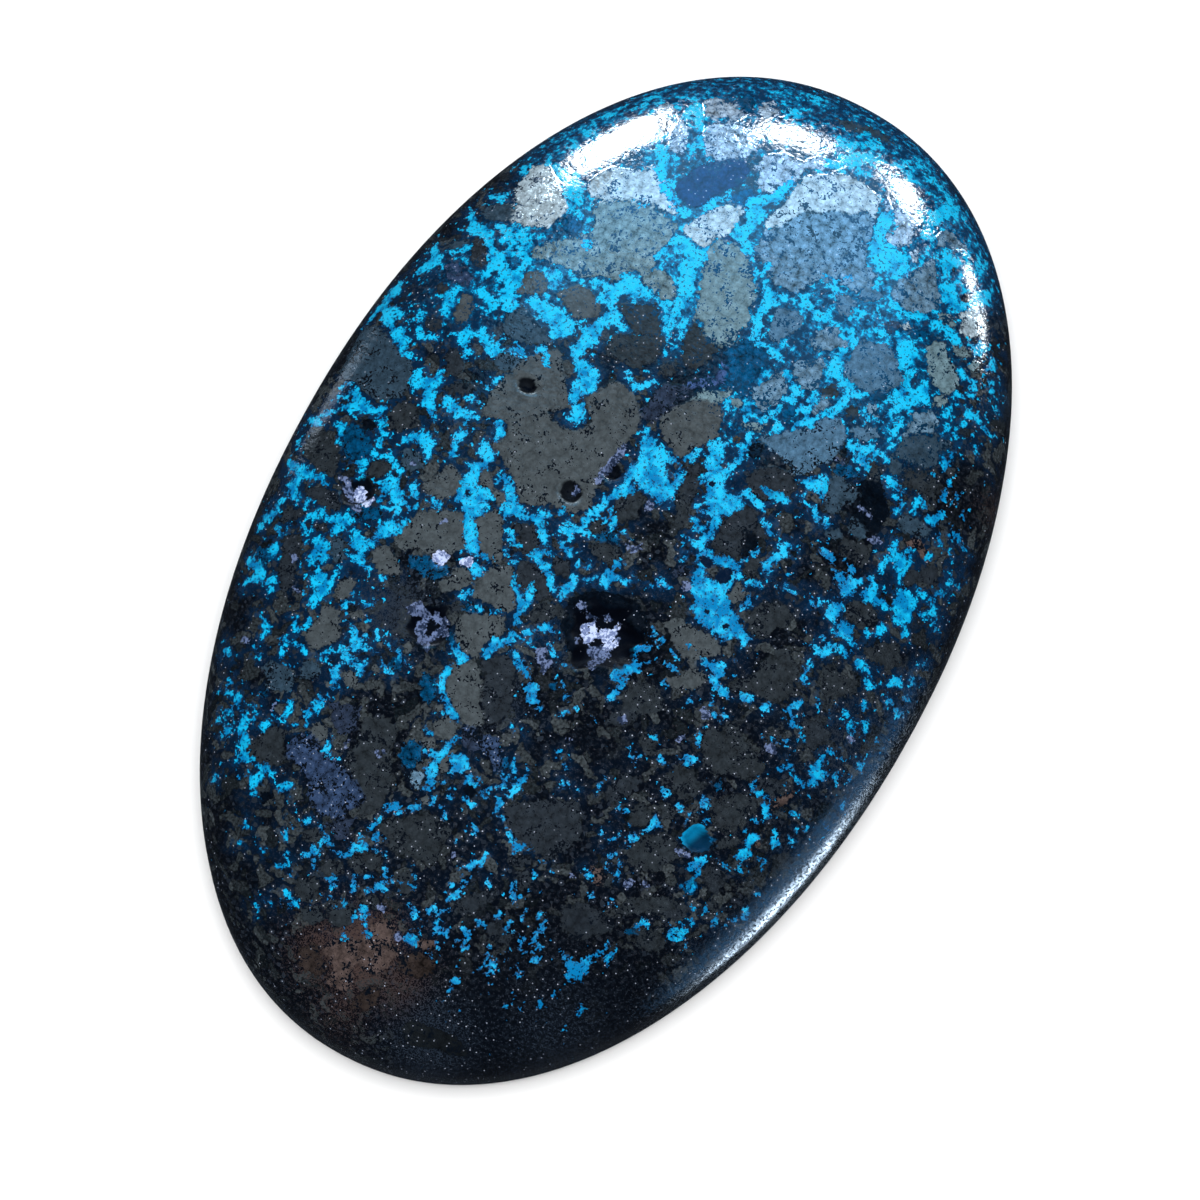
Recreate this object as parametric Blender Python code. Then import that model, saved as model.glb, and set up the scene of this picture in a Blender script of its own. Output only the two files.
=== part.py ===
"""A polished turquoise cabochon: a long oval with a flat back, a low dome and small open pockets.

The stone lies on its flat back, +Z up. Its length runs along Y, and the blunter end is at +Y.
The origin is on the back, under the middle of the stone.
"""

import math

import bmesh
import bpy
from mathutils import Matrix, Vector, noise

MM = 0.001

# The stone
LENGTH = 40.0 * MM
WIDTH = 25.0 * MM
THICKNESS = 6.0 * MM
OVAL_POWER = 2.1
BLUNT_END = 0.004

# Its cross-section, in which the reach is 0 on the axis and 1 at the girdle
BACK_BEVEL = 0.5 * MM
BACK_BEVEL_REACH = 0.965
BEVEL_STEPS = 4
GIRDLE_TOP = 1.5 * MM
DOME_POWER = 3.0
DOME_STEPS = 19
STEPS_ROUND = 96

# Open pockets in the dome: across, along, length, width, depth and turn of each
POCKETS = {
    "quartz": (1.4, -2.9, 2.6, 2.0, 0.70, 35),
    "west_quartz": (-4.2, -5.4, 1.6, 1.1, 0.45, 70),
    "north_west_quartz": (-8.9, -2.1, 1.3, 0.9, 0.40, 20),
    "small_quartz": (-5.0, -3.1, 0.7, 0.5, 0.25, 0),
    "round_pit": (-5.2, 4.1, 0.7, 0.7, 0.35, 0),
    "ragged_pit": (-2.0, 1.3, 1.0, 0.8, 0.40, 50),
    "ledge_pit": (-0.9, 2.6, 1.6, 0.7, 0.45, 75),
    "round_well": (7.9, -7.8, 1.2, 0.8, 0.35, 15),
    "small_well": (8.4, -9.1, 0.9, 0.6, 0.30, 120),
    "south_pit": (5.6, -12.4, 0.9, 0.7, 0.35, 60),
}
POCKET_ROUGHNESS = 0.22
POCKET_LUMPS = 1.3
POCKET_DETAIL = 2

SHARP_ANGLE = math.radians(35)


def clear_scene():
    for item in list(bpy.data.objects):
        bpy.data.objects.remove(item)


def stone_material():
    """Near-black matrix under a polish, the colour that most of the face shows."""
    material = bpy.data.materials.new("polished_dark_turquoise_matrix")
    material.use_nodes = True
    shader = material.node_tree.nodes["Principled BSDF"]
    shader.inputs["Base Color"].default_value = (0.012, 0.045, 0.075, 1.0)
    shader.inputs["Roughness"].default_value = 0.18
    shader.inputs["Metallic"].default_value = 0.0
    return material


def girdle(turn):
    """The girdle's point at this turn from +X: an oval a little fuller than an ellipse."""
    across = math.cos(turn)
    along = math.sin(turn)
    full = (abs(across) ** OVAL_POWER + abs(along) ** OVAL_POWER) ** (-1 / OVAL_POWER)
    full *= 1 + BLUNT_END * math.sin(3 * turn)
    return Vector((WIDTH / 2 * full * across, LENGTH / 2 * full * along, 0))


def dome_height(reach):
    rise = math.sqrt(max(0.0, 1 - min(reach, 1.0) ** DOME_POWER))
    return GIRDLE_TOP + (THICKNESS - GIRDLE_TOP) * rise


def height_over(place):
    """The dome's height over a place on the back."""
    turn = math.atan2(place.y / LENGTH, place.x / WIDTH)
    return dome_height(place.length / girdle(turn).length)


def half_section():
    """Half of the cross-section as reaches and heights, from the middle of the back to the top."""
    points = [(0.0, 0.0)]
    for step in range(BEVEL_STEPS + 1):
        turn = math.pi / 2 * step / BEVEL_STEPS
        reach = BACK_BEVEL_REACH + (1 - BACK_BEVEL_REACH) * math.sin(turn)
        points.append((reach, BACK_BEVEL * (1 - math.cos(turn))))
    for step in range(DOME_STEPS):
        turn = math.pi / 2 * step / DOME_STEPS
        reach = math.cos(turn) ** (2 / DOME_POWER)
        points.append((reach, dome_height(reach)))
    points.append((0.0, THICKNESS))
    return points


def stone_mesh():
    """The half section is spun round the axis, and the round disc is then drawn out to the oval."""
    bm = bmesh.new()
    rings = [bm.verts.new((reach, 0, height)) for reach, height in half_section()]
    edges = [bm.edges.new(pair) for pair in zip(rings, rings[1:])]
    bmesh.ops.spin(
        bm,
        geom=rings + edges,
        cent=(0, 0, 0),
        axis=(0, 0, 1),
        angle=2 * math.pi,
        steps=STEPS_ROUND,
        use_merge=True,
    )
    bmesh.ops.remove_doubles(bm, verts=bm.verts, dist=0.001 * MM)
    for vert in bm.verts:
        flat = vert.co.xy
        outer = girdle(math.atan2(flat.y, flat.x))
        vert.co.x = outer.x * flat.length
        vert.co.y = outer.y * flat.length
    ends = [vert.co.y for vert in bm.verts]
    bmesh.ops.translate(bm, verts=bm.verts, vec=(0, -(max(ends) + min(ends)) / 2, 0))
    bmesh.ops.recalc_face_normals(bm, faces=bm.faces)
    mesh = bpy.data.meshes.new("turquoise_cabochon")
    bm.to_mesh(mesh)
    bm.free()
    return mesh


def pocket_cutter():
    """One lumpy pebble for each open pocket, half sunk in the dome, all in one cutting mesh."""
    bm = bmesh.new()
    for across, along, length, width, depth, turn in POCKETS.values():
        middle = Vector((across, along, 0)) * MM
        middle.z = height_over(middle)
        pebble = bmesh.ops.create_icosphere(bm, subdivisions=POCKET_DETAIL, radius=1.0)
        for vert in pebble["verts"]:
            lump = noise.noise(vert.co * POCKET_LUMPS + middle * 1000)
            vert.co *= 1 + POCKET_ROUGHNESS * lump
        half_sizes = Vector((length / 2, width / 2, depth)) * MM
        place = (
            Matrix.Translation(middle)
            @ Matrix.Rotation(math.radians(turn), 4, "Z")
            @ Matrix.Diagonal(half_sizes).to_4x4()
        )
        bmesh.ops.transform(bm, matrix=place, verts=pebble["verts"])
    mesh = bpy.data.meshes.new("pocket_cutter")
    bm.to_mesh(mesh)
    bm.free()
    cutter = bpy.data.objects.new("pocket_cutter", mesh)
    cutter.hide_render = True
    cutter.display_type = "WIRE"
    bpy.context.scene.collection.objects.link(cutter)
    return cutter


def build():
    clear_scene()
    mesh = stone_mesh()
    mesh.materials.append(stone_material())
    mesh.shade_smooth()
    mesh.set_sharp_from_angle(angle=SHARP_ANGLE)
    stone = bpy.data.objects.new("turquoise_cabochon", mesh)
    bpy.context.scene.collection.objects.link(stone)
    pockets = stone.modifiers.new("open_pockets", "BOOLEAN")
    pockets.operation = "DIFFERENCE"
    pockets.solver = "EXACT"
    pockets.object = pocket_cutter()


build()
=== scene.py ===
import math

import bmesh
import bpy
import numpy as np
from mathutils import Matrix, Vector, noise
from mathutils.bvhtree import BVHTree


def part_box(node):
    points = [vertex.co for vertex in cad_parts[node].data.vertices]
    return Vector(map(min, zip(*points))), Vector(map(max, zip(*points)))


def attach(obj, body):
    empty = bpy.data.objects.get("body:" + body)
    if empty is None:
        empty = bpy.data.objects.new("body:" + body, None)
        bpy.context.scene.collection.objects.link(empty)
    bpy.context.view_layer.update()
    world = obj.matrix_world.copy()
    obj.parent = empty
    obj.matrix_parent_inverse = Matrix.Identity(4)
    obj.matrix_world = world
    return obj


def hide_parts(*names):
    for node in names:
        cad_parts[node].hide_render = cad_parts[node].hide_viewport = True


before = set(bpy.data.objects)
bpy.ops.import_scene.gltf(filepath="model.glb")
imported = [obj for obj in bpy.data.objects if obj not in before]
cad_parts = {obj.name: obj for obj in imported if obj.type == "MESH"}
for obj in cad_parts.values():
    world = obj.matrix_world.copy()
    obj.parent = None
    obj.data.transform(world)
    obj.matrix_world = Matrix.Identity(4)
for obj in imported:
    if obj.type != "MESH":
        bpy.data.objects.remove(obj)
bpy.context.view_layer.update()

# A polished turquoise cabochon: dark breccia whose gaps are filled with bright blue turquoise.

MM = 0.001
STONE = "turquoise_cabochon"

LOW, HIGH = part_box(STONE)
LENGTH = HIGH.y - LOW.y
WIDTH = HIGH.x - LOW.x
THICKNESS = HIGH.z - LOW.z

# The stone's form, as the frame has it
OVAL_POWER = 2.1
BLUNT_END = 0.004
BACK_BEVEL = 0.5 * MM
BACK_BEVEL_REACH = 0.965
GIRDLE_TOP = 1.5 * MM
DOME_POWER = 3.0
# The grid's cells across and along the face, and how many of them meet one of the back's
FACE_CELLS = (240, 384)
BACK_SPLIT = 4

# The camera: 1 pixel of the photograph is this much of the stone, at the girdle
PHOTO_SIZE = 1200
PIXEL = 40.0 * MM / 1098.0
PHOTO_MIDDLE = (605.8, 579.4)
CAMERA_TURN = 28.15
CAMERA_HEIGHT = 76.0
LENS = 250.0
SENSOR = 36.0

# Clasts that stand out, by their rock, each drawn round its edge in the photograph's pixels
CLASTS = {
    "olive": [
        [(521, 360), (540, 352), (562, 348), (563, 372), (571, 408), (547, 411), (552, 420), (564, 428),
         (576, 431), (592, 423), (584, 397), (600, 390), (612, 380), (624, 384), (634, 394), (641, 418),
         (637, 432), (600, 474), (592, 508), (575, 514), (562, 511), (550, 504), (534, 506), (520, 502),
         (514, 482), (498, 452), (488, 441), (502, 442), (508, 430), (504, 419), (481, 418), (490, 392)],
        [(447, 464), (456, 468), (464, 480), (462, 492), (452, 498), (440, 499), (428, 494), (422, 484),
         (436, 478)],
        [(481, 468), (489, 466), (496, 490), (490, 494), (482, 488), (479, 478)],
        [(493, 492), (508, 492), (508, 502), (496, 504)],
        [(524, 272), (543, 270), (548, 284), (546, 295), (512, 293)],
        [(566, 288), (578, 284), (592, 290), (603, 312), (598, 320), (574, 318), (560, 298), (553, 294)],
        [(462, 292), (474, 297), (472, 310), (466, 322), (458, 324), (452, 316)],
        [(662, 414), (688, 401), (703, 398), (720, 403), (723, 413), (720, 434), (712, 442), (691, 450),
         (686, 458), (678, 460), (658, 428)],
        [(431, 511), (445, 509), (465, 512), (466, 535), (462, 540), (468, 542), (466, 549), (451, 554),
         (428, 554), (417, 548), (400, 551), (394, 540), (402, 526), (420, 511)],
        [(483, 512), (500, 510), (503, 520), (503, 554), (502, 562), (498, 565), (492, 566), (489, 558),
         (480, 552), (472, 520)],
        [(498, 566), (515, 566), (514, 588), (517, 608), (508, 613), (474, 598), (471, 594), (483, 572)],
        [(451, 572), (462, 566), (471, 572), (474, 585), (443, 594), (438, 588), (438, 580), (448, 578)],
        [(460, 614), (472, 612), (498, 615), (505, 618), (506, 631), (500, 638), (492, 638), (486, 643),
         (478, 658), (471, 657), (462, 651), (457, 643), (455, 631)],
        [(449, 665), (458, 662), (478, 662), (482, 680), (480, 700), (484, 725), (470, 728), (455, 715),
         (445, 692)],
        [(659, 623), (679, 617), (685, 623), (714, 637), (723, 646), (722, 654), (703, 660), (682, 658),
         (670, 640), (668, 629)],
        [(662, 678), (682, 675), (690, 669), (700, 669), (707, 677), (703, 688), (693, 691), (673, 688)],
        [(723, 595), (731, 592), (734, 583), (740, 581), (743, 585), (742, 591), (750, 591), (748, 597),
         (733, 605), (727, 602)],
        [(372, 552), (380, 546), (390, 545), (400, 566), (400, 575), (380, 574), (372, 563)],
        [(337, 583), (346, 578), (358, 577), (352, 598), (341, 600), (335, 594)],
        [(321, 608), (330, 605), (340, 611), (340, 634), (338, 640), (317, 651), (309, 646), (301, 634),
         (317, 620)],
        [(360, 623), (366, 620), (370, 628), (366, 634), (360, 631)],
        [(347, 611), (358, 611), (366, 615), (363, 620), (352, 618)],
        [(377, 643), (383, 641), (386, 646), (381, 649)],
        [(404, 643), (413, 640), (413, 648), (406, 657), (403, 651)],
        [(343, 671), (352, 671), (358, 677), (357, 686), (349, 688), (343, 682)],
        [(325, 682), (330, 680), (334, 684), (330, 689), (326, 687)],
        [(363, 529), (367, 526), (370, 537), (366, 540)],
        [(369, 666), (378, 665), (381, 671), (377, 675)],
        [(309, 728), (318, 722), (326, 727), (329, 737), (321, 742), (312, 736)],
        [(431, 725), (448, 714), (458, 725), (458, 733), (451, 740), (442, 742), (431, 733)],
        [(422, 737), (432, 736), (438, 742), (434, 751), (423, 751)],
        [(435, 703), (442, 703), (445, 710), (440, 713), (435, 710)],
        [(437, 760), (455, 747), (457, 751), (449, 762), (449, 771), (442, 773), (437, 767)],
        [(422, 759), (431, 757), (432, 763), (425, 767)],
        [(434, 783), (437, 777), (442, 779), (437, 791)],
        [(420, 797), (426, 794), (431, 799), (428, 805), (423, 805)],
    ],
    "slate": [
        [(505, 312), (521, 302), (556, 345), (522, 344), (508, 338), (502, 328)],
        [(500, 350), (515, 353), (524, 360), (516, 370), (503, 372), (493, 366), (494, 356)],
        [(480, 213), (489, 205), (505, 204), (514, 205), (515, 216), (511, 222), (486, 221)],
        [(446, 248), (452, 241), (472, 239), (471, 244), (454, 251)],
        [(835, 118), (870, 126), (888, 136), (898, 146), (845, 130)],
        [(902, 438), (915, 434), (930, 436), (939, 432), (939, 441), (950, 440), (952, 447), (939, 452),
         (936, 466), (925, 468), (893, 455)],
        [(885, 467), (892, 456), (902, 462), (902, 475), (893, 477)],
        [(826, 480), (835, 475), (843, 480), (858, 492), (856, 500), (832, 508), (824, 502), (823, 490)],
        [(826, 478), (838, 474), (846, 480), (850, 492), (838, 513), (828, 515), (823, 509)],
        [(850, 483), (858, 488), (858, 498), (852, 506), (848, 500)],
        [(850, 520), (858, 515), (865, 525), (868, 540), (858, 540), (848, 532)],
        [(822, 532), (839, 525), (845, 538), (830, 541)],
        [(895, 529), (901, 515), (918, 518), (931, 529), (931, 538), (918, 538)],
        [(330, 542), (338, 537), (346, 542), (344, 560), (337, 563), (329, 557)],
        [(261, 665), (272, 660), (286, 665), (293, 672), (295, 685), (287, 694), (264, 688), (267, 678)],
        [(300, 663), (312, 660), (321, 665), (320, 675), (309, 680), (300, 678)],
        [(361, 327), (380, 326), (401, 353), (412, 361), (412, 383), (400, 398), (380, 401), (369, 398),
         (361, 387), (352, 381), (343, 380), (340, 373)],
        [(401, 449), (413, 449), (423, 457), (424, 469), (410, 473), (401, 466)],
    ],
    "brown": [
        [(452, 347), (462, 352), (465, 364), (462, 374), (454, 378), (447, 370), (445, 358)],
        [(427, 316), (440, 317), (443, 328), (432, 333), (424, 326)],
        [(440, 388), (455, 383), (472, 382), (478, 390), (468, 394), (450, 394)],
        [(686, 470), (692, 463), (700, 461), (701, 478), (698, 492), (690, 505), (675, 505)],
        [(745, 478), (758, 468), (775, 466), (790, 472), (800, 486), (790, 498), (770, 502), (752, 498)],
        [(472, 241), (480, 236), (486, 239), (489, 247), (486, 256), (488, 264), (482, 268), (474, 265),
         (469, 259)],
        [(436, 286), (444, 280), (450, 288), (446, 298), (438, 296)],
        [(480, 660), (502, 654), (511, 658), (517, 669), (511, 710), (500, 725), (486, 726), (481, 700),
         (484, 680)],
        [(511, 523), (522, 522), (532, 525), (538, 531), (540, 542), (537, 549), (529, 555), (508, 548),
         (508, 543), (518, 542), (517, 532), (509, 528)],
        [(518, 557), (538, 566), (548, 575), (551, 588), (549, 597), (543, 602), (534, 600), (533, 588),
         (520, 592), (515, 580)],
        [(554, 555), (566, 560), (572, 572), (569, 577), (560, 578), (554, 575), (551, 565)],
        [(705, 546), (713, 540), (719, 529), (720, 518), (739, 511), (747, 503), (757, 511), (760, 522),
         (771, 540), (759, 541), (753, 532), (748, 534), (744, 538), (740, 558), (731, 560)],
        [(448, 602), (463, 605), (462, 611), (452, 614), (448, 609)],
        [(905, 568), (921, 569), (933, 563), (941, 566), (936, 588), (918, 582), (908, 588), (902, 585)],
        [(303, 488), (327, 485), (340, 500), (341, 509), (329, 511), (306, 495)],
        [(281, 514), (287, 508), (301, 508), (306, 514), (297, 520), (284, 523), (280, 521)],
        [(284, 536), (296, 534), (302, 545), (292, 585), (284, 598), (278, 580)],
        [(313, 525), (327, 522), (330, 531), (318, 532)],
        [(505, 808), (515, 802), (546, 799), (577, 802), (582, 814), (582, 839), (548, 862), (514, 837),
         (503, 814)],
        [(506, 856), (523, 854), (534, 857), (532, 865), (520, 868), (508, 867)],
        [(515, 871), (531, 871), (532, 883), (528, 891), (517, 891)],
        [(455, 903), (466, 894), (495, 888), (498, 900), (486, 905), (474, 915), (454, 915)],
        [(800, 723), (811, 717), (833, 734), (820, 748), (811, 751), (803, 743)],
        [(759, 780), (771, 777), (787, 780), (796, 787), (787, 793), (770, 796), (760, 791)],
        [(605, 790), (615, 778), (625, 773), (642, 777), (640, 787), (628, 797), (608, 804), (600, 798)],
        [(611, 713), (628, 705), (640, 712), (632, 728), (603, 726)],
        [(703, 868), (711, 862), (727, 873), (728, 883), (719, 893), (710, 896), (703, 885)],
        [(561, 905), (583, 902), (601, 910), (614, 921), (614, 932), (580, 942), (560, 930)],
        [(482, 924), (500, 921), (514, 936), (508, 948), (492, 941)],
        [(665, 902), (688, 904), (689, 916), (679, 921), (667, 921), (662, 913)],
    ],
    "pale": [
        [(706, 246), (716, 240), (735, 244), (752, 260), (757, 297), (749, 310), (753, 316), (746, 326),
         (738, 331), (737, 341), (730, 346), (722, 347), (704, 335), (702, 322), (694, 320)],
        [(700, 390), (720, 391), (728, 388), (731, 394), (723, 402), (712, 403), (700, 398), (692, 399)],
        [(729, 399), (738, 396), (744, 403), (741, 409), (732, 407)],
        [(740, 421), (765, 424), (763, 430), (754, 433), (743, 429)],
        [(932, 341), (939, 340), (945, 344), (947, 355), (958, 373), (959, 383), (953, 393), (944, 395),
         (936, 389), (930, 377), (925, 349)],
        [(938, 312), (945, 312), (958, 324), (955, 330), (939, 323)],
        [(962, 366), (973, 360), (981, 363), (978, 373), (968, 372)],
    ],
    "dusk": [
        [(690, 325), (700, 322), (703, 336), (722, 349), (697, 370), (686, 367), (681, 355), (682, 342)],
        [(616, 304), (656, 303), (663, 336), (634, 333)],
        [(659, 368), (667, 361), (679, 361), (680, 370), (670, 377), (661, 378)],
        [(605, 356), (608, 341), (614, 334), (650, 334), (664, 336), (668, 341), (667, 347), (653, 363),
         (642, 369), (633, 371), (623, 361)],
        [(615, 500), (628, 489), (640, 492), (643, 502), (630, 508)],
        [(591, 543), (606, 542), (622, 551), (628, 560), (615, 563), (600, 562), (591, 554)],
        [(590, 522), (600, 518), (607, 522), (608, 530), (598, 535), (588, 534)],
        [(531, 608), (543, 603), (560, 603), (571, 618), (566, 623), (554, 618), (545, 623), (534, 623),
         (526, 618)],
        [(614, 500), (634, 488), (643, 502), (639, 518), (623, 526), (616, 525), (611, 517)],
        [(682, 483), (691, 489), (690, 518), (682, 529), (665, 537), (667, 529), (674, 522), (677, 511),
         (674, 500)],
        [(742, 563), (751, 557), (760, 560), (760, 578), (750, 582), (742, 577)],
        [(745, 614), (762, 602), (776, 602), (787, 605), (794, 617), (788, 626), (770, 634), (765, 640),
         (756, 638), (748, 631)],
        [(725, 685), (736, 677), (748, 678), (759, 669), (771, 651), (780, 648), (790, 649), (793, 660),
         (797, 663), (799, 674), (794, 685), (796, 694), (787, 700), (771, 702), (750, 692), (737, 694),
         (728, 691)],
        [(619, 606), (633, 598), (642, 602), (636, 609), (623, 611)],
        [(623, 691), (639, 680), (651, 683), (663, 695), (667, 710), (640, 716), (620, 710)],
        [(904, 477), (906, 467), (920, 471), (936, 468), (942, 477), (933, 498), (908, 489)],
        [(842, 410), (852, 404), (859, 407), (859, 417), (850, 420)],
        [(824, 386), (835, 383), (839, 390), (838, 397), (819, 397)],
        [(865, 463), (876, 461), (883, 472), (878, 482), (866, 478)],
        [(841, 535), (868, 545), (870, 560), (862, 570), (838, 552)],
        [(847, 606), (850, 600), (870, 602), (878, 611), (878, 623), (872, 629), (861, 631), (844, 618)],
        [(821, 665), (836, 661), (839, 674), (858, 680), (858, 694), (828, 698), (822, 691)],
        [(861, 649), (880, 642), (900, 643), (902, 665), (887, 671), (871, 661)],
        [(312, 432), (323, 427), (340, 447), (338, 473), (329, 478), (303, 457), (304, 446)],
        [(369, 463), (380, 458), (390, 461), (393, 469), (386, 477), (375, 480), (366, 473)],
        [(385, 412), (400, 402), (418, 402), (420, 427), (400, 432), (386, 429)],
        [(361, 719), (369, 716), (378, 719), (384, 714), (392, 719), (400, 731), (390, 753), (393, 762),
         (392, 780), (387, 803), (380, 810), (361, 819), (358, 808), (366, 799), (350, 771), (343, 765),
         (349, 751), (358, 742)],
        [(241, 742), (257, 740), (261, 733), (275, 725), (287, 731), (284, 756), (293, 762), (278, 765),
         (269, 771), (247, 756)],
        [(300, 831), (315, 827), (323, 836), (318, 842), (303, 840)],
        [(349, 854), (361, 849), (384, 856), (380, 867), (364, 873), (352, 870), (347, 862)],
        [(320, 865), (330, 859), (343, 862), (344, 871), (333, 879), (323, 876)],
        [(293, 880), (309, 876), (321, 880), (320, 897), (306, 905), (295, 896)],
        [(377, 822), (415, 813), (431, 813), (446, 820), (451, 833), (434, 867), (389, 851), (387, 839),
         (377, 831)],
        [(393, 874), (410, 870), (417, 882), (410, 897), (398, 893)],
        [(357, 900), (372, 894), (384, 900), (377, 911), (361, 908)],
        [(702, 730), (713, 727), (719, 730), (722, 723), (733, 720), (740, 722), (742, 736), (763, 762),
         (763, 771), (753, 780), (740, 779), (736, 773), (720, 776), (711, 773), (703, 767), (700, 743)],
        [(708, 802), (728, 794), (753, 793), (757, 797), (757, 813), (740, 823), (737, 831), (727, 833),
         (717, 830), (708, 813)],
        [(660, 780), (676, 765), (685, 763), (696, 771), (697, 780), (711, 783), (685, 802), (662, 787)],
        [(631, 845), (640, 836), (667, 833), (691, 856), (667, 865), (657, 873), (636, 870), (627, 862),
         (625, 851)],
        [(719, 839), (728, 836), (743, 837), (737, 847), (713, 851)],
        [(765, 734), (782, 723), (787, 730), (785, 737), (774, 739)],
        [(637, 736), (651, 730), (659, 737), (657, 753), (645, 762)],
        [(625, 822), (633, 808), (643, 800), (653, 813), (653, 823), (640, 830), (630, 827)],
        [(659, 802), (670, 803), (677, 813), (674, 820), (662, 819), (657, 808)],
        [(690, 817), (697, 813), (699, 823), (696, 830), (688, 827)],
        [(620, 902), (636, 897), (667, 896), (685, 903), (688, 915), (613, 915)],
        [(777, 854), (790, 853), (796, 862), (788, 874), (776, 870)],
        [(600, 885), (604, 872), (616, 876), (612, 890)],
        [(300, 908), (320, 905), (326, 920), (312, 926), (300, 920)],
        [(327, 902), (345, 898), (358, 908), (352, 925), (335, 930), (328, 920)],
        [(528, 967), (540, 967), (540, 976), (528, 976)],
        [(633, 936), (645, 928), (656, 927), (667, 941), (663, 952), (651, 952), (636, 948)],
        [(704, 900), (718, 902), (718, 916), (706, 914)],
        [(405, 1020), (430, 1025), (455, 1035), (470, 1055), (465, 1063), (425, 1048), (408, 1045),
         (402, 1035)],
    ],
    "cream": [
        [(640, 268), (667, 270), (676, 284), (676, 295), (671, 301), (660, 299), (646, 287), (641, 280)],
        [(590, 204), (622, 200), (640, 202), (680, 224), (645, 282), (640, 272), (630, 272), (620, 285),
         (600, 275), (585, 278), (560, 265), (532, 258), (530, 250), (545, 243), (575, 238), (590, 232),
         (596, 222)],
        [(953, 343), (973, 350), (967, 358), (959, 357), (953, 352)],
        [(932, 397), (941, 395), (948, 401), (941, 407), (933, 406)],
    ],
    "grey": [
        [(752, 396), (752, 389), (776, 371), (785, 374), (787, 391), (775, 406), (767, 411), (759, 409)],
        [(790, 370), (796, 362), (823, 358), (826, 368), (816, 389), (808, 392), (800, 388)],
        [(783, 276), (798, 280), (800, 292), (794, 298), (786, 290)],
        [(808, 345), (818, 330), (835, 330), (845, 345), (830, 352)],
        [(766, 230), (778, 228), (806, 210), (820, 214), (835, 210), (850, 215), (868, 212), (875, 221),
         (872, 241), (867, 248), (867, 259), (875, 276), (872, 288), (858, 292), (820, 280), (795, 292),
         (775, 285), (752, 250)],
        [(935, 237), (943, 230), (952, 232), (970, 250), (965, 255), (955, 250), (937, 248)],
        [(897, 282), (915, 268), (935, 258), (938, 268), (936, 280), (942, 300), (935, 312), (920, 316),
         (903, 312), (893, 303), (890, 292)],
        [(910, 413), (930, 410), (938, 417), (939, 429), (930, 434), (915, 432), (904, 436), (902, 432),
         (910, 421)],
        [(815, 337), (825, 326), (841, 326), (839, 337), (850, 343), (850, 347), (824, 352), (813, 350)],
        [(812, 408), (819, 398), (829, 398), (832, 406), (822, 413), (812, 414)],
        [(865, 403), (875, 403), (879, 409), (876, 420), (870, 417)],
        [(406, 776), (411, 772), (420, 771), (426, 777), (418, 790)],
    ],
    "blue_grey": [
        [(768, 334), (771, 319), (778, 307), (800, 312), (806, 319), (801, 328), (779, 342), (771, 341)],
        [(758, 436), (799, 429), (826, 417), (840, 418), (847, 428), (846, 440), (832, 461), (820, 464),
         (802, 478), (794, 473), (782, 456), (770, 450)],
        [(852, 349), (861, 340), (887, 344), (904, 372), (910, 375), (907, 386), (870, 393), (850, 383),
         (842, 373)],
        [(848, 430), (856, 426), (878, 429), (879, 438), (868, 443), (856, 438)],
        [(835, 293), (845, 293), (859, 304), (858, 312), (847, 318), (838, 313)],
        [(861, 287), (880, 290), (885, 298), (870, 303), (858, 298)],
    ],
    "ochre": [
        [(730, 438), (739, 435), (743, 438), (739, 443), (731, 443)],
    ],
    "black": [
        [(747, 448), (757, 440), (766, 444), (764, 452), (756, 460), (748, 455)],
        [(560, 620), (568, 600), (590, 590), (615, 592), (638, 600), (648, 622), (645, 645), (606, 672),
         (592, 674), (566, 648)],
        [(560, 492), (571, 480), (585, 486), (585, 500), (572, 503), (563, 498)],
        [(747, 534), (756, 532), (759, 542), (757, 551), (741, 560), (742, 546)],
        [(411, 604), (430, 604), (449, 616), (450, 636), (436, 650), (420, 652), (408, 634)],
        [(861, 479), (880, 480), (885, 492), (891, 512), (878, 532), (862, 530), (852, 515), (860, 500)],
        [(841, 442), (848, 441), (847, 452), (841, 454)],
        [(361, 420), (369, 417), (377, 424), (373, 430), (363, 430)],
        [(260, 793), (272, 790), (275, 799), (263, 805)],
        [(369, 783), (374, 784), (376, 790), (370, 790)],
        [(417, 840), (423, 841), (422, 846), (417, 846)],
        [(464, 786), (474, 785), (477, 793), (470, 799), (462, 796)],
    ],
    "plum": [
        [(656, 388), (667, 382), (694, 388), (686, 398), (652, 424), (643, 422), (640, 414), (650, 402)],
        [(670, 574), (679, 566), (687, 565), (689, 572), (682, 578), (673, 578)],
        [(537, 520), (545, 519), (549, 525), (545, 531), (538, 528)],
        [(885, 321), (898, 320), (901, 327), (893, 335), (885, 332)],
        [(326, 822), (358, 817), (343, 846), (333, 840)],
        [(329, 702), (361, 705), (356, 731), (341, 736), (330, 723)],
        [(460, 733), (477, 735), (480, 750), (474, 754), (463, 751)],
    ],
    "violet": [
        [(686, 383), (712, 377), (723, 363), (728, 370), (725, 381), (716, 385), (690, 390)],
        [(642, 408), (652, 411), (656, 418), (650, 424), (643, 421)],
    ],
    "teal": [
        [(727, 348), (738, 345), (742, 338), (752, 340), (765, 345), (770, 358), (768, 372), (758, 376),
         (744, 398), (728, 388), (724, 378), (728, 365), (722, 355)],
        [(757, 284), (764, 280), (763, 308), (758, 318), (752, 314), (757, 300)],
        [(780, 405), (788, 402), (797, 405), (797, 415), (790, 424), (782, 420)],
        [(738, 96), (752, 94), (756, 104), (750, 116), (742, 114), (737, 104)],
        [(728, 197), (740, 190), (752, 188), (756, 197), (750, 207), (730, 203)],
        [(558, 222), (568, 214), (582, 212), (586, 224), (578, 234), (566, 232)],
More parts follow.
